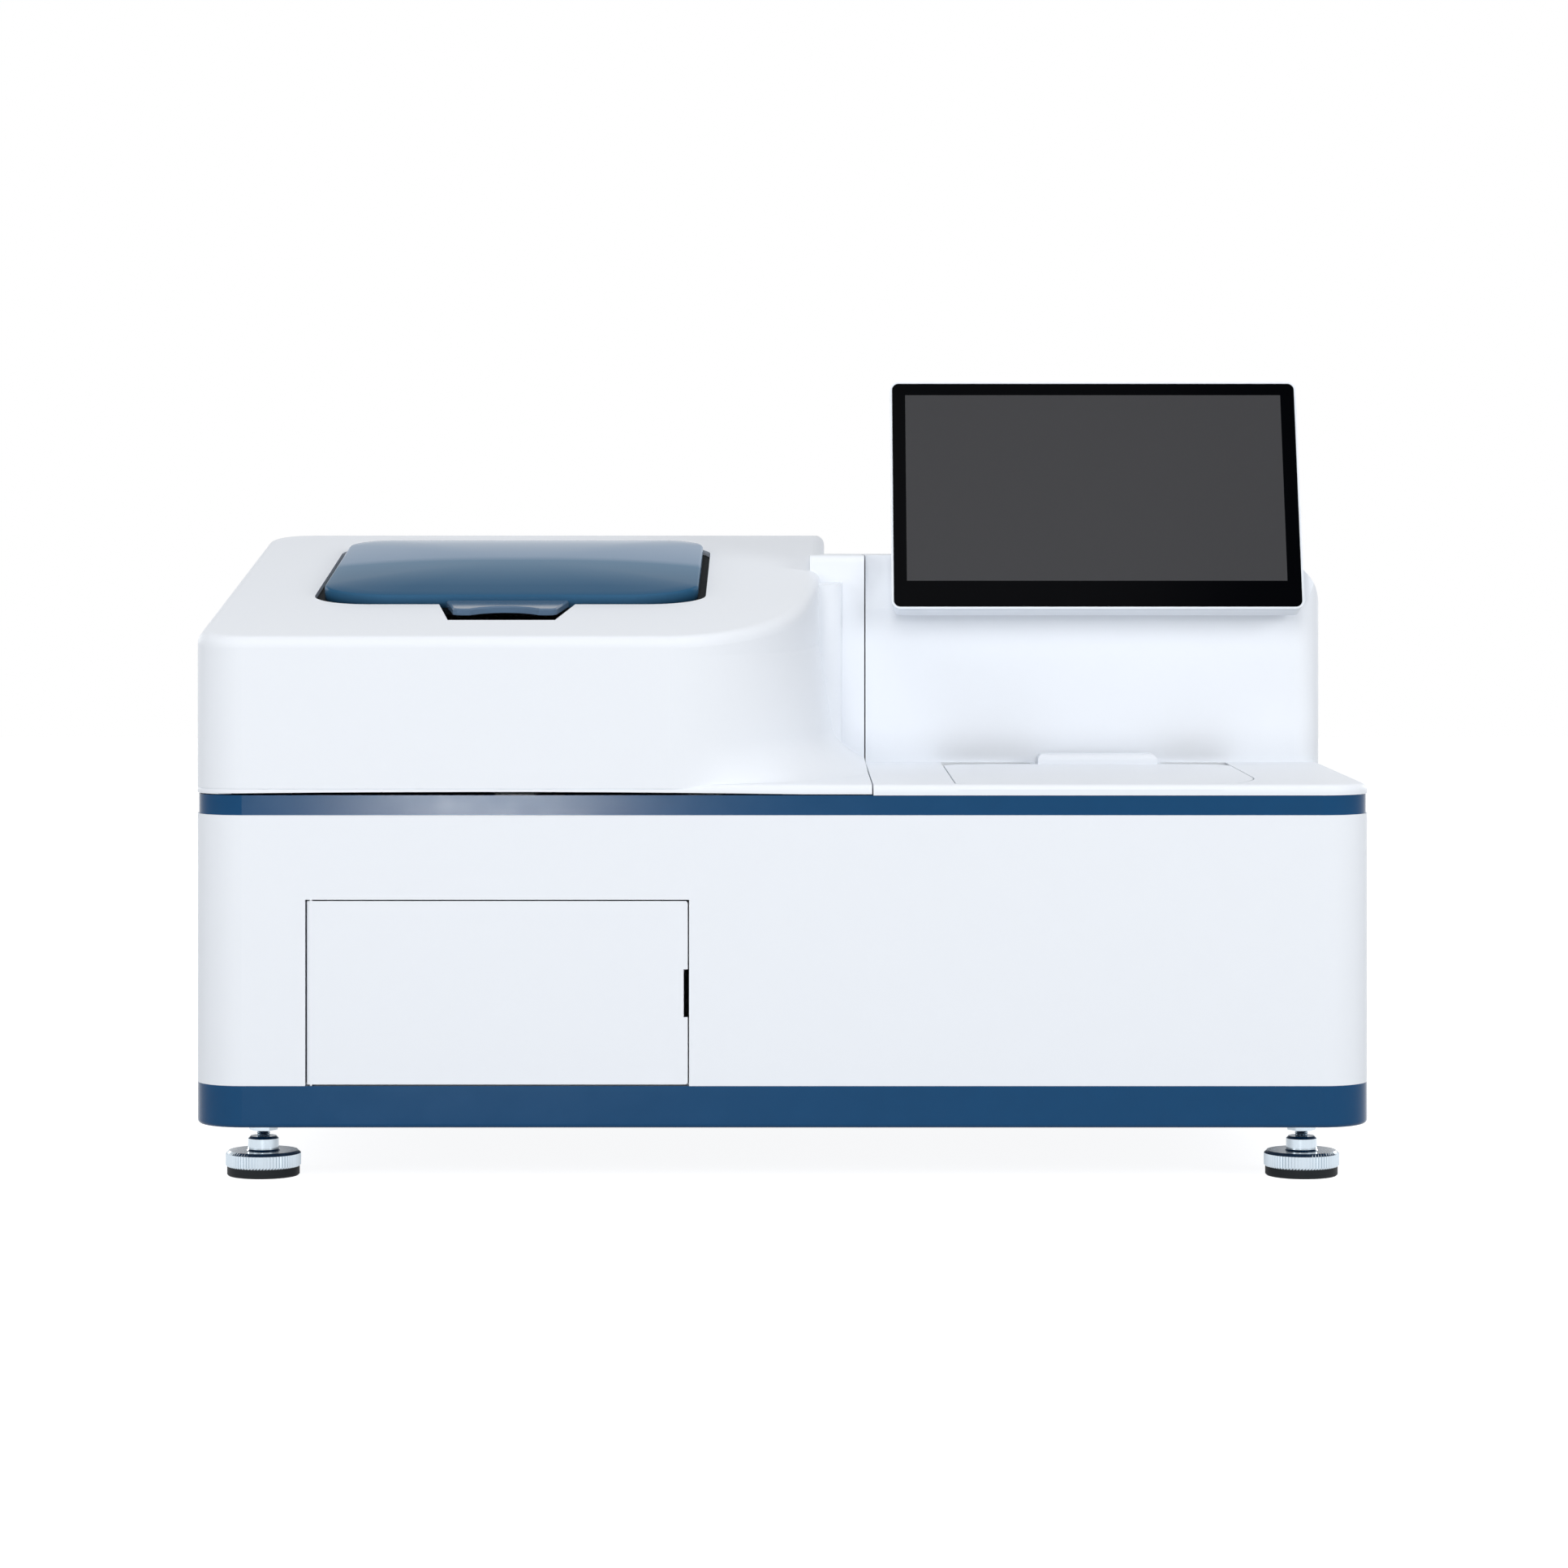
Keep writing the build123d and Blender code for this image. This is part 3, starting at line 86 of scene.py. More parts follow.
def mapRange(tree, source, low, high, fromLow=0.0, fromHigh=1.0):
    ramp = tree.nodes.new("ShaderNodeMapRange")
    ramp.inputs["From Min"].default_value = fromLow
    ramp.inputs["From Max"].default_value = fromHigh
    ramp.inputs["To Min"].default_value = low
    ramp.inputs["To Max"].default_value = high
    tree.links.new(source, ramp.inputs["Value"])
    return ramp.outputs["Result"]


def mixColour(tree, factor, first, second):
    mix = tree.nodes.new("ShaderNodeMix")
    mix.data_type = "RGBA"
    mix.inputs["A"].default_value = list(first) + [1]
    mix.inputs["B"].default_value = list(second) + [1]
    tree.links.new(factor, mix.inputs["Factor"])
    return mix.outputs["Result"]


def grainBump(tree, shader, height, strength, distance):
    bump = tree.nodes.new("ShaderNodeBump")
    bump.inputs["Strength"].default_value = strength
    bump.inputs["Distance"].default_value = distance
    tree.links.new(height, bump.inputs["Height"])
    tree.links.new(bump.outputs["Normal"], shader.inputs["Normal"])


def surface(name, colour, roughness, spread=0.06, shade=0.03, scale=40.0, grain=0.0, **sockets):
    """One opaque finish with a little mottling in colour and roughness."""
    mat, tree, shader = newMaterial(name)
    noise = objectNoise(tree, scale)
    dark = [c * (1 - shade) for c in colour]
    light = [min(1.0, c * (1 + shade)) for c in colour]
    tree.links.new(mixColour(tree, noise.outputs["Fac"], dark, light), shader.inputs["Base Color"])
    rough = mapRange(tree, noise.outputs["Fac"], max(0.02, roughness - spread), roughness + spread)
    tree.links.new(rough, shader.inputs["Roughness"])
    if grain:
        fine = objectNoise(tree, 2600.0, 2.0)
        grainBump(tree, shader, fine.outputs["Fac"], grain, 0.00004)
    for key, value in sockets.items():
        shader.inputs[key.replace("_", " ")].default_value = value
    return mat


def turned(name, colour, roughness, stretch, **sockets):
    """Machined metal: fine streaks along one axis."""
    mat, tree, shader = newMaterial(name)
    streak = objectNoise(tree, 300.0, 4.0, stretch)
    dark = [c * 0.86 for c in colour]
    tree.links.new(mixColour(tree, streak.outputs["Fac"], dark, colour), shader.inputs["Base Color"])
    rough = mapRange(tree, streak.outputs["Fac"], roughness * 0.7, roughness * 1.3)
    tree.links.new(rough, shader.inputs["Roughness"])
    grainBump(tree, shader, streak.outputs["Fac"], 0.15, 0.0001)
    shader.inputs["Metallic"].default_value = 1.0
    for key, value in sockets.items():
        shader.inputs[key.replace("_", " ")].default_value = value
    return mat


def dotWith(tree, coords, vector):
    dot = tree.nodes.new("ShaderNodeVectorMath")
    dot.operation = "DOT_PRODUCT"
    dot.inputs[1].default_value = vector
    tree.links.new(coords.outputs["Object"], dot.inputs[0])
    return dot.outputs["Value"]


def inside(tree, value, middle, half):
    """One where a value lies within half of the middle, else zero."""
    compare = tree.nodes.new("ShaderNodeMath")
    compare.operation = "COMPARE"
    compare.inputs[1].default_value = middle
    compare.inputs[2].default_value = half
    tree.links.new(value, compare.inputs[0])
    return compare.outputs["Value"]


def both(tree, first, second):
    product = tree.nodes.new("ShaderNodeMath")
    product.operation = "MULTIPLY"
    tree.links.new(first, product.inputs[0])
    tree.links.new(second, product.inputs[1])
    return product.outputs["Value"]


def touchGlass(settings):
    """Black glass with the lit display's pale area behind it."""
    mat, tree, shader = newMaterial("touch_glass")
    coords = tree.nodes.new("ShaderNodeTexCoord")
    lean = math.radians(settings["lean"])
    up = (0.0, math.sin(lean), math.cos(lean))
    foot = Vector(settings["foot"]).dot(Vector(up))
    across = inside(tree, dotWith(tree, coords, (1, 0, 0)), settings["middle"], settings["half"])
    low, high = settings["low"], settings["high"]
    along = inside(tree, dotWith(tree, coords, up), foot + (low + high) / 2, (high - low) / 2)
    lit = both(tree, across, along)
    colour = mixColour(tree, lit, tone["glassBlack"], tone["displayGrey"])
    tree.links.new(colour, shader.inputs["Base Color"])
    noise = objectNoise(tree, 25.0)
    rough = mapRange(tree, noise.outputs["Fac"], 0.10, 0.16)
    tree.links.new(rough, shader.inputs["Roughness"])
    shader.inputs["Specular IOR Level"].default_value = settings["shine"]
    return mat


def paintedReflectionLid(settings):
    """Dark blue plastic with a painted reflection: painted dark in front and painted paler towards the
    rear.
    """
    mat, tree, shader = newMaterial("smoked_blue")
    coords = tree.nodes.new("ShaderNodeTexCoord")
    depth = dotWith(tree, coords, (0, 1, 0))
    share = mapRange(tree, depth, 0.0, 1.0, settings["front"], settings["rear"])
    ramp = tree.nodes.new("ShaderNodeValToRGB")
    reflectionStops = ramp.color_ramp.elements
    while len(reflectionStops) < len(settings["reflectionStops"]):
        reflectionStops.new(0.5)
    for stop, (place, colour) in zip(reflectionStops, settings["reflectionStops"]):
        stop.position = place
        stop.color = list(colour) + [1]
    tree.links.new(share, ramp.inputs["Fac"])
    tree.links.new(ramp.outputs["Color"], shader.inputs["Base Color"])
    noise = objectNoise(tree, 30.0)
    tree.links.new(mapRange(tree, noise.outputs["Fac"], 0.07, 0.11), shader.inputs["Roughness"])
    shader.inputs["Specular IOR Level"].default_value = settings["shine"]
    return mat


# Painted reflection on the window lid: colour stops run from a painted dark front to a painted pale rear,
# with a sharp step where a studio light's reflection is painted in.
lidPaintedReflection = {
    "front": -0.115,
    "rear": 0.195,
    "reflectionStops": (
        (0.0, (0.034, 0.102, 0.190)),
        (0.10, (0.026, 0.098, 0.190)),
        (0.46, (0.070, 0.170, 0.280)),
        (0.53, (0.200, 0.290, 0.410)),
        (1.0, (0.330, 0.415, 0.530)),
    ),
    "shine": 0.003,
}
glassLook = {
    "lean": 20.7,
    "foot": (0.0, 0.055, 0.4137),
    "middle": 0.24985,
    "half": 0.151,
    "low": 0.0140,
    "high": 0.1730,
    "shine": 0.012,
}

look = {
    "white": surface(
        "white_shell", tone["shellWhite"], 0.46, 0.05, 0.006, 30.0, 0.04, Specular_IOR_Level=0.14
    ),
    "blue": surface("blue_shell", tone["shellBlue"], 0.16, 0.03, 0.05, 60.0, Specular_IOR_Level=0.13),
    "dark": surface("dark_plastic", tone["charcoal"], 0.5, 0.08, 0.1, 80.0, 0.1),
    "gap": surface("gap_black", tone["rubberBlack"], 0.7, 0.05, 0.1, 80.0, Specular_IOR_Level=0.05),
    "rim": surface("pale_rim", tone["rimSilver"], 0.3, 0.05, 0.02, 60.0),
    "rubber": surface("rubber", tone["rubberBlack"], 0.62, 0.08, 0.15, 120.0, 0.2, Specular_IOR_Level=0.2),
    "steel": turned("steel", tone["steel"], 0.32, (1, 1, 0.05)),
    "steelAcross": turned("steel_across", tone["steel"], 0.30, (0.05, 1, 1)),
    "aluminium": turned("aluminium", tone["aluminium"], 0.42, (0.08, 1, 1)),
    "chrome": turned("chrome", tone["chrome"], 0.12, (0.5, 0.5, 0.5)),
    "knurl": turned("knurled_chrome", tone["chrome"], 0.13, (1.6, 1.6, 0.02)),
    "mark": surface("white_mark", (0.78, 0.79, 0.80), 0.5, 0.05, 0.02, 50.0),
    "board": surface("board_green", tone["boardGreen"], 0.45, 0.1, 0.15, 90.0),
    "bottle": surface(
        "bottle_plastic", tone["bottle"], 0.45, 0.06, 0.03, 50.0, 0.05, Transmission_Weight=0.35
    ),
    "clear": surface("clear_plate", tone["clearPlate"], 0.18, 0.04, 0.02, 60.0, Transmission_Weight=0.5),
    # The lid's finish carries a painted reflection, dark in front and pale at the rear.
    "lid": paintedReflectionLid(lidPaintedReflection),
    "tab": surface("smoked_tab", tone["smoke"], 0.14, 0.03, 0.04, 50.0, Specular_IOR_Level=0.14),
    "glass": touchGlass(glassLook),
}

wears = {
    "white": "lower_housing left_cover right_cover hatch_lid front_door screen_housing bottle_bay",
    "blue": "base_tray accent_strip",
    "gap": "window_frame",
    "dark": "rear_panel data_ports bottle_caps door_catch fan_frame fan_rotor mains_inlet "
    "switch_frame power_rocker read_head filter_wheel wash_pump carriage_motor head_motor filter_motor "
    "display_panel",
    "rim": "screen_bezel",
    "rubber": "foot_pad_1 foot_pad_2 foot_pad_3 foot_pad_4",
    "steel": "deck_posts lid_hinge_pins cover_hinge_pins door_hinge_pins hatch_hinge_pin",
    "steelAcross": "lead_screw head_screw carriage_rails cover_hinge_leaves cover_hinge_arms power_supply",
    "aluminium": "work_deck gantry_frame wash_bridge plate_carriage screw_bearings lamp_housing "
    "wash_manifold",
    "chrome": "foot_stud_1 foot_stud_2 foot_stud_3 foot_stud_4 foot_nuts",
    "board": "main_board",
    "bottle": "bottles",
    "clear": "microplate",
    "lid": "window_lid",
    "tab": "lid_handle",
    "glass": "screen_glass",
}
dressed = set()
for key, names in wears.items():
    for name in names.split():
        nodes[name].data.materials.clear()
        nodes[name].data.materials.append(look[key])
        dressed.add(name)
print("finishes set:", len(dressed), "of", len(nodes), sorted(set(nodes) - dressed))

def finishPiece(name, build, body, material):
    """Turns a bmesh into an object that rides on a body."""
    bmesh.ops.recalc_face_normals(build, faces=build.faces)
    mesh = bpy.data.meshes.new(name)
    build.to_mesh(mesh)
    build.free()
    mesh.materials.append(material)
    piece = bpy.data.objects.new(name, mesh)
    scene.collection.objects.link(piece)
    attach(piece, body)
    return piece


def joinRings(build, loops):
    """Faces between rings of the same count, one after the other."""
    for low, high in zip(loops, loops[1:]):
        for i in range(len(low)):
            after = (i + 1) % len(low)
            build.faces.new((low[i], low[after], high[after], high[i]))


def turnedRings(build, rings, segments, flutes=0.0):
    """A closed shape round the Z axis; each ring is a radius, a height and its share of the fluting."""
    loops = []
    for radius, height, share in rings:
        loop = []
        for i in range(segments):
            turn = 2 * math.pi * i / segments
            reach = radius - share * flutes * (i % 2)
            loop.append(build.verts.new((reach * math.cos(turn), reach * math.sin(turn), height)))
        loops.append(loop)
    joinRings(build, loops)
    build.faces.new(list(reversed(loops[0])))
    build.faces.new(loops[-1])
    return [vert for loop in loops for vert in loop]


def softBox(build, low, high, edge, segments=2):
    """A block between two corners, with rounded edges."""
    middle = [(a + b) / 2 for a, b in zip(low, high)]
    size = [b - a for a, b in zip(low, high)]
    place = Matrix.Translation(middle) @ Matrix.Diagonal(size + [1])
    made = bmesh.ops.create_cube(build, size=1.0, matrix=place)
    if edge:
        rim = list({e for v in made["verts"] for e in v.link_edges})
        bmesh.ops.bevel(
            build, geom=rim, offset=edge, affect="EDGES", segments=segments, profile=0.5, material=-1
        )
    return made


# Levelling feet: knurled discs with a collar and a cut thread.
footLook = {
    "knurls": 72,
    "flute": 0.0007,
    "disc": 0.0277,
    "collar": 0.0114,
    "pivot": 0.0078,
    "thread": 0.0049,
    "cut": 0.0005,
    "pitch": 0.0015,
    "discLow": 0.0068,
    "discTop": 0.0185,
    "collarTop": 0.029,
    "end": 0.0610,
}
for i in range(1, 5):
    low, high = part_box("foot_stud_%d" % i)
    low, high = Vector(low), Vector(high)
    middle = (low + high) / 2
    rings = [
        (footLook["pivot"], low.z + 0.0002, 0),
        (footLook["pivot"], footLook["discLow"], 0),
        (footLook["disc"] - 0.0010, footLook["discLow"], 0),
        (footLook["disc"], footLook["discLow"] + 0.0010, 1),
        (footLook["disc"], footLook["discTop"] - 0.0022, 1),
        (footLook["disc"] - 0.0022, footLook["discTop"], 0),
        (footLook["collar"] + 0.0010, footLook["discTop"], 0),
        (footLook["collar"], footLook["discTop"] + 0.0010, 0),
        (footLook["collar"], footLook["collarTop"] - 0.0018, 0),
        (footLook["collar"] - 0.0018, footLook["collarTop"], 0),
        (footLook["thread"] - footLook["cut"], footLook["collarTop"], 0),
    ]
    height = footLook["collarTop"] + footLook["pitch"] / 2
    while height < footLook["end"]:
        rings.append((footLook["thread"], height, 0))
        rings.append((footLook["thread"] - footLook["cut"], height + footLook["pitch"] / 2, 0))
        height += footLook["pitch"]
    build = bmesh.new()
    turnedRings(build, rings, 2 * footLook["knurls"], footLook["flute"])
    bmesh.ops.translate(build, verts=build.verts, vec=(middle.x, middle.y, 0))
    foot = finishPiece("knurled_foot_%d" % i, build, "foot_%d_screw" % i, look["knurl"])
    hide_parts("foot_stud_%d" % i)
print("levelling feet built")

# Microplate: an open skirted tray with ninety-six round wells.
plateLook = {
    "columns": 8,
    "rows": 12,
    "pitch": 0.009,
    "wall": 0.0012,
    "ledge": 0.0018,
    "skirt": 0.0025,
    "wellOuter": 0.0040,
    "wellInner": 0.0033,
    "floor": 0.0030,
    "wellFloor": 0.0042,
}
low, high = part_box("microplate")
low, high = Vector(low), Vector(high)
middle = (low + high) / 2
step = plateLook["ledge"]
build = bmesh.new()
softBox(build, low, (high.x, high.y, low.z + plateLook["skirt"]), 0.0004)
inner = (low.x + step, low.y + step, high.x - step, high.y - step)
wall = plateLook["wall"]
base = low.z + plateLook["skirt"] - 0.0002
for x0, y0, x1, y1 in (
    (inner[0], inner[1], inner[0] + wall, inner[3]),
    (inner[2] - wall, inner[1], inner[2], inner[3]),
    (inner[0] + wall, inner[1], inner[2] - wall, inner[1] + wall),
    (inner[0] + wall, inner[3] - wall, inner[2] - wall, inner[3]),
):
    softBox(build, (x0, y0, base), (x1, y1, high.z), 0.0002, 1)
wells = plateLook["columns"] * plateLook["rows"]
for i in range(wells):
    column, row = i % plateLook["columns"], i // plateLook["columns"]
    x = middle.x + (column - (plateLook["columns"] - 1) / 2) * plateLook["pitch"]
    y = middle.y + (row - (plateLook["rows"] - 1) / 2) * plateLook["pitch"]
    outer, bore = plateLook["wellOuter"], plateLook["wellInner"]
    rings = (
        (outer, base, 0),
        (outer, high.z - 0.0002, 0),
        (outer - 0.0002, high.z, 0),
        (bore, high.z, 0),
        (bore * 0.94, low.z + plateLook["wellFloor"], 0),
    )
    made = turnedRings(build, rings, 20)
    bmesh.ops.translate(build, verts=made, vec=(x, y, 0))
plate = finishPiece("well_plate", build, "carriage", look["clear"])
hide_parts("microplate")
print("microplate built:", wells, "wells")

# Screws of the rear panel and of the cover hinges: pan heads with a round-cornered socket.
screwLook = {
    "radius": 0.0030,
    "height": 0.0016,
    "socket": 0.0014,
    "depth": 0.0010,
    "panelInset": 0.007,
    "panelRowInset": 0.006,
    "leafWidth": 0.060,
    "leafSpots": (0.006, 0.030, 0.054),
    "leafThick": 0.002,
    "leafShares": {"cover_hinge_leaves": ("base", 0.28), "cover_hinge_arms": ("top_cover", 0.72)},
}


def panHead(build, at):
    """A small screw head that stands on a face looking to the rear."""
    radius, height = screwLook["radius"], screwLook["height"]
    rings = (
        (radius, -0.0003, 0),
        (radius, height * 0.45, 0),
        (radius * 0.82, height * 0.88, 0),
        (radius * 0.6, height, 0),
        (screwLook["socket"], height, 0),
        (screwLook["socket"] * 0.95, height - screwLook["depth"], 0),
    )
    made = turnedRings(build, rings, 24)
    turnBack = Matrix.Translation(at) @ Matrix.Rotation(math.radians(-90), 4, "X")
    bmesh.ops.transform(build, matrix=turnBack, verts=made)


panelLow, panelHigh = (Vector(corner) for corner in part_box("rear_panel"))
build = bmesh.new()
inset, rowInset = screwLook["panelInset"], screwLook["panelRowInset"]
spots = 0
for x in (panelLow.x + inset, panelLow.x * 0.5, 0.0, panelHigh.x * 0.5, panelHigh.x - inset):
    for z in (panelLow.z + rowInset, panelHigh.z - rowInset):
        panHead(build, (x, panelHigh.y, z))
        spots += 1
finishPiece("rear_panel_screws", build, "base", look["steel"])
for node, (body, share) in screwLook["leafShares"].items():
    hingeLow, hingeHigh = (Vector(corner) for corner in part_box(node))
    face = hingeLow.y + screwLook["leafThick"]
    z = hingeLow.z + (hingeHigh.z - hingeLow.z) * share
    build = bmesh.new()
    for end in (hingeLow.x, hingeHigh.x - screwLook["leafWidth"]):
        for dx in screwLook["leafSpots"]:
            panHead(build, (end + dx, face, z))
            spots += 1
    finishPiece(node + "_screws", build, body, look["steel"])
print("screws built:", spots)

# The window lid: an evenly domed shell with two bored lugs at its rear edge.
lidShape = {
    "foot": (-0.2095, -0.275, 0.399),
    "slope": 0.1373,
    "start": 0.163,
    "size": (0.289, 0.302),
    "corners": {"front": 0.056, "rear": 0.036},
    "low": -0.0037,
    "edge": 0.0052,
    "crown": 0.0120,
    "roll": 0.0022,
    "rollRise": 0.0012,
    "rollSteps": ((0.0010, 0.0009), (0.0003, 0.0002), (0.0, -0.0010)),
    "wall": 0.0030,
    "power": 2.6,
    "rings": 16,
    "cornerSteps": 18,
    "lug": {
        "reach": 0.095,
        "half": 0.008,
        "axis": (0.4677, 0.0015),
        "radius": 0.0030,
        "bore": 0.00155,
        "sides": 24,
    },
}


def lidOutline(settings, inset):
    """The lid's plan outline, drawn in all round, from its middle."""
    halfWide, halfLong = (side / 2 - inset for side in settings["size"])
    spots = []
    steps = settings["cornerSteps"]
    for start, wide, far in ((0, 1, 1), (90, -1, 1), (180, -1, -1), (270, 1, -1)):
        radius = settings["corners"]["rear" if far > 0 else "front"] - inset
        middle = (wide * (halfWide - radius), far * (halfLong - radius))
        for step in range(steps + 1):
            turn = math.radians(start + 90 * step / steps)
            spots.append((middle[0] + radius * math.cos(turn), middle[1] + radius * math.sin(turn)))
    return spots


def lidRings(settings, inset, drop):
    """Rings from the middle of the dome out to its edge, this far inside the outer face."""
    spots = lidOutline(settings, inset + settings["roll"])
    rise = settings["crown"] - settings["edge"] - settings["rollRise"]
    for step in range(1, settings["rings"] + 1):
        share = step / settings["rings"]
        height = settings["crown"] - rise * share ** settings["power"] - drop
        yield [(share * x, share * y, height) for x, y in spots]


def boredLug(build, lug, x, deep, high):
    """One hinge lug: a block and a round end with a bore for the pin."""
    half, reach, sides = lug["half"], lug["radius"], lug["sides"]
    low = (x - half, deep - 2 * reach, high - reach)
    softBox(build, low, (x + half, deep - 0.7 * reach, high + reach), 0.0)
    turns = [2 * math.pi * step / sides for step in range(sides)]
    rings = []
    for radius, end in ((reach, -1), (reach, 1), (lug["bore"], 1), (lug["bore"], -1)):
        spots = [(x + end * half, deep + radius * math.cos(t), high + radius * math.sin(t)) for t in turns]
        rings.append([build.verts.new(spot) for spot in spots])
    joinRings(build, rings + rings[:1])


def domedLid(settings):
    """The lid in the plane of the slope, then set on the sloping cover."""
    build = bmesh.new()
    outer = list(lidRings(settings, 0.0, 0.0))
    for inset, height in settings["rollSteps"]:
        outer.append([(x, y, settings["edge"] + height) for x, y in lidOutline(settings, inset)])
    outer.append([(x, y, settings["low"]) for x, y in lidOutline(settings, 0.0)])
    inner = list(lidRings(settings, settings["wall"], settings["wall"]))
    inner.append([(x, y, settings["low"]) for x, y in lidOutline(settings, settings["wall"])])
    loops = [[build.verts.new(spot) for spot in ring] for ring in outer + inner[::-1]]
    joinRings(build, loops)
    for loop in (loops[0], loops[-1]):
        tip = build.verts.new((0, 0, loop[0].co.z))
        for first, second in zip(loop, loop[1:] + loop[:1]):
            build.faces.new((first, second, tip))
    for face in build.faces:
        face.smooth = True
    lug = settings["lug"]
    along = settings["start"] + settings["size"][1] / 2
    for side in (-1, 1):
        boredLug(build, lug, side * lug["reach"], lug["axis"][0] - along, lug["axis"][1])
    lean = math.atan(settings["slope"])
    foot = Vector(settings["foot"])
    place = Matrix.Translation(foot) @ Matrix.Rotation(lean, 4, "X") @ Matrix.Translation((0, along, 0))
    bmesh.ops.transform(build, matrix=place, verts=build.verts)
    return build


lid = finishPiece("window_lid_dome", domedLid(lidShape), "lid", look["lid"])
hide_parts("window_lid")
print("window lid built")

# Generic on and off marks on the power rocker's two faces.
rockerLook = {
    "pivotDepth": 0.264,
    "lean": 9.0,
    "rise": 0.0052,
    "spot": 0.0052,
    "thick": 0.0002,
    "bar": (0.0007, 0.0042),
    "ring": (0.0015, 0.0021),
}
rockerLow, rockerHigh = (Vector(corner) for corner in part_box("power_rocker"))
middle = (rockerLow + rockerHigh) / 2
pivot = Vector((middle.x, rockerLook["pivotDepth"], middle.z))
thick = rockerLook["thick"]
inner, outer = rockerLook["ring"]
build = bmesh.new()
for side in (1, -1):
    place = Matrix.Translation(pivot) @ Matrix.Rotation(math.radians(side * rockerLook["lean"]), 4, "X")
    place = place @ Matrix.Translation((0, rockerLook["rise"], side * rockerLook["spot"]))
    if side > 0:
        wide, tall = rockerLook["bar"]
        bar = place @ Matrix.Diagonal((wide, 2 * thick, tall, 1))
        bmesh.ops.create_cube(build, size=1.0, matrix=bar)
        continue
    rings = ((outer, -thick, 0), (outer, thick, 0), (inner, thick, 0), (inner, -thick, 0))
    ring = turnedRings(build, rings, 32)
    bmesh.ops.transform(build, matrix=place @ Matrix.Rotation(math.radians(90), 4, "X"), verts=ring)
    caps = [f for f in build.faces if len(f.verts) > 8]
    bmesh.ops.delete(build, geom=caps, context="FACES_ONLY")
finishPiece("rocker_marks", build, "rocker", look["mark"])
print("rocker marks built")


def seenDirectly(tree):
    """One for rays from the camera, from metal and through glass, so that all three show white."""
    rays = tree.nodes.new("ShaderNodeLightPath")
    seen = rays.outputs["Is Camera Ray"]
    for output in ("Is Glossy Ray", "Is Transmission Ray"):
        either = tree.nodes.new("ShaderNodeMath")
        either.operation = "MAXIMUM"
        tree.links.new(seen, either.inputs[0])
        tree.links.new(rays.outputs[output], either.inputs[1])
        seen = either.outputs["Value"]
    return seen


# Floor, light and camera.
floorLook = {"size": 14.0, "base": (0.50, 0.51, 0.52), "glow": 0.02, "seenGlow": 0.92, "rough": 0.9}
floorMesh = bpy.data.meshes.new("floor")
half = floorLook["size"] / 2
corners = [(-half, -half, 0), (half, -half, 0), (half, half, 0), (-half, half, 0)]
floorMesh.from_pydata(corners, [], [(0, 1, 2, 3)])
floor = bpy.data.objects.new("floor", floorMesh)
scene.collection.objects.link(floor)
floorMat, floorTree, floorShader = newMaterial("pale_floor")
floorShader.inputs["Base Color"].default_value = list(floorLook["base"]) + [1]
floorShader.inputs["Roughness"].default_value = floorLook["rough"]
floorShader.inputs["Specular IOR Level"].default_value = 0.0
floorShader.inputs["Emission Color"].default_value = (1, 1, 1, 1)
floorGlow = mapRange(floorTree, seenDirectly(floorTree), floorLook["glow"], floorLook["seenGlow"])
floorTree.links.new(floorGlow, floorShader.inputs["Emission Strength"])
floorMesh.materials.append(floorMat)

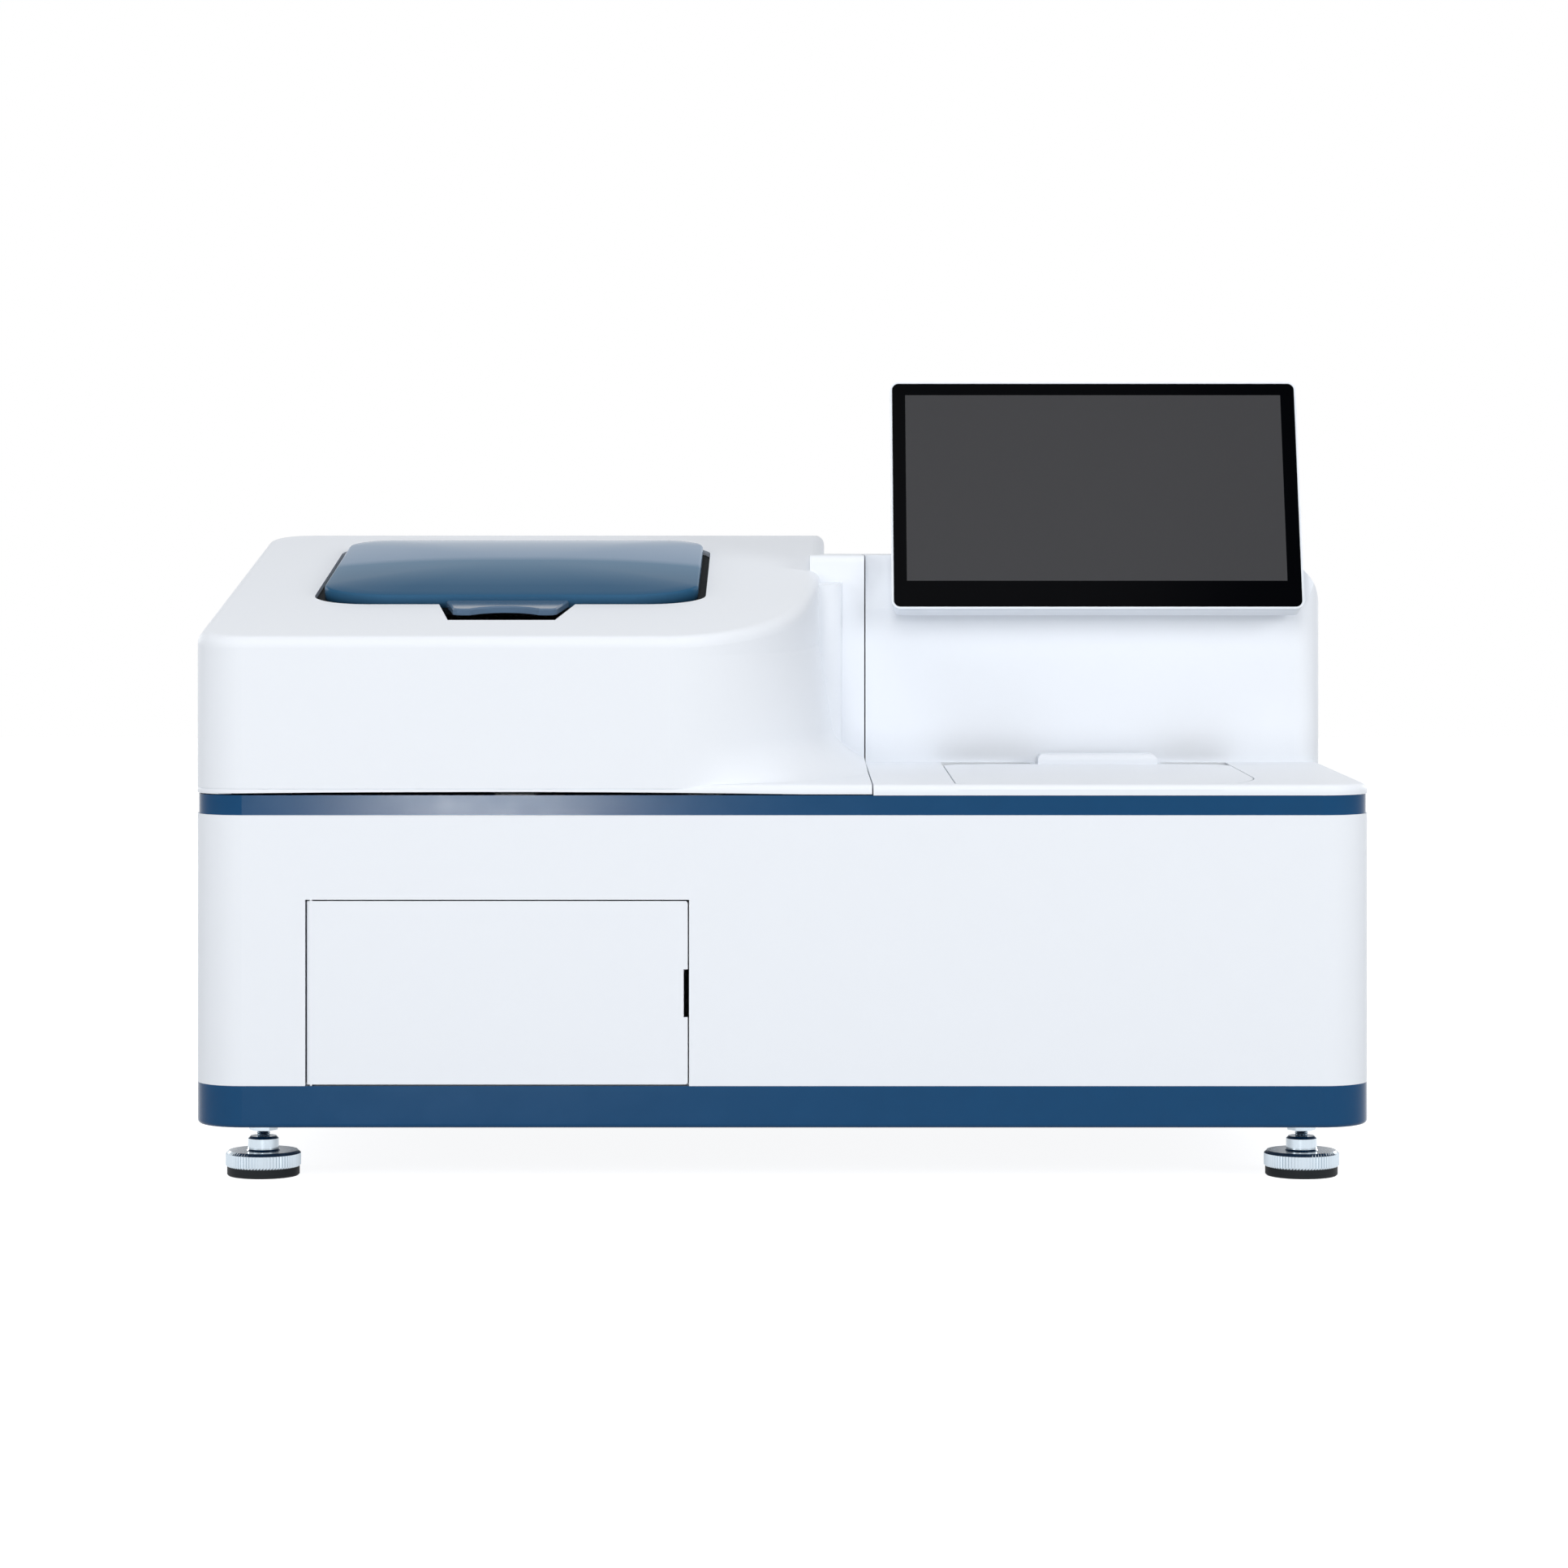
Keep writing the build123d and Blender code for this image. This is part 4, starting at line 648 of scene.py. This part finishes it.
skyLook = {"colour": (0.95, 0.97, 1.0, 1), "ambient": 0.26, "seen": 1.0}
world = bpy.data.worlds.new("studio")
scene.world = world
world.use_nodes = True
sky = world.node_tree
sky.nodes.clear()
skyOut = sky.nodes.new("ShaderNodeOutputWorld")
skyMix = sky.nodes.new("ShaderNodeMixShader")
ambient = sky.nodes.new("ShaderNodeBackground")
backdrop = sky.nodes.new("ShaderNodeBackground")
ambient.inputs["Color"].default_value = skyLook["colour"]
ambient.inputs["Strength"].default_value = skyLook["ambient"]
backdrop.inputs["Color"].default_value = (1, 1, 1, 1)
backdrop.inputs["Strength"].default_value = skyLook["seen"]
sky.links.new(seenDirectly(sky), skyMix.inputs["Fac"])
sky.links.new(ambient.outputs["Background"], skyMix.inputs[1])
sky.links.new(backdrop.outputs["Background"], skyMix.inputs[2])
sky.links.new(skyMix.outputs["Shader"], skyOut.inputs["Surface"])

lamps = (
    {"name": "topSoft", "at": (0.3, 0.1, 2.6), "aim": (0.1, 0.0, 0.3), "size": 2.4, "watts": 17},
    {"name": "frontSoft", "at": (-0.6, -4.2, 3.0), "aim": (0, 0, 0.3), "size": 2.6, "watts": 83},
    {"name": "rightSoft", "at": (2.9, -1.9, 1.5), "aim": (0.2, 0, 0.3), "size": 1.4, "watts": 46},
    {"name": "leftSoft", "at": (-2.9, -1.8, 1.3), "aim": (-0.2, 0, 0.3), "size": 1.4, "watts": 26},
    {"name": "rearRight", "at": (2.5, 3.0, 1.0), "aim": (0.1, 0, 0.3), "size": 1.2, "watts": 20},
    {"name": "rearLeft", "at": (-2.5, 3.0, 1.0), "aim": (-0.1, 0, 0.3), "size": 1.2, "watts": 20},
    {"name": "stripGlint", "at": (-0.43, -3.6, 0.10), "aim": (-0.2, 0, 0.28), "size": 0.26, "watts": 18},
)
for lamp in lamps:
    data = bpy.data.lights.new(lamp["name"], "AREA")
    data.shape = "SQUARE"
    data.size = lamp["size"]
    data.energy = lamp["watts"]
    shine = bpy.data.objects.new(lamp["name"], data)
    shine.location = lamp["at"]
    aim = Vector(lamp["aim"]) - Vector(lamp["at"])
    shine.rotation_euler = aim.to_track_quat("-Z", "Y").to_euler()
    scene.collection.objects.link(shine)

cameraLook = {"lens": 108.72, "shift": (0.001, -0.1646), "at": (0.0, -3.724, 0.480)}
lens = bpy.data.cameras.new("camera")
lens.lens = cameraLook["lens"]
lens.sensor_width = 36.0
lens.shift_x, lens.shift_y = cameraLook["shift"]
lens.clip_end = 60.0
camera = bpy.data.objects.new("camera", lens)
camera.location = cameraLook["at"]
camera.rotation_euler = (math.radians(90), 0, 0)
scene.collection.objects.link(camera)
scene.camera = camera
scene.view_settings.view_transform = "Standard"
print("stage, light and camera set")
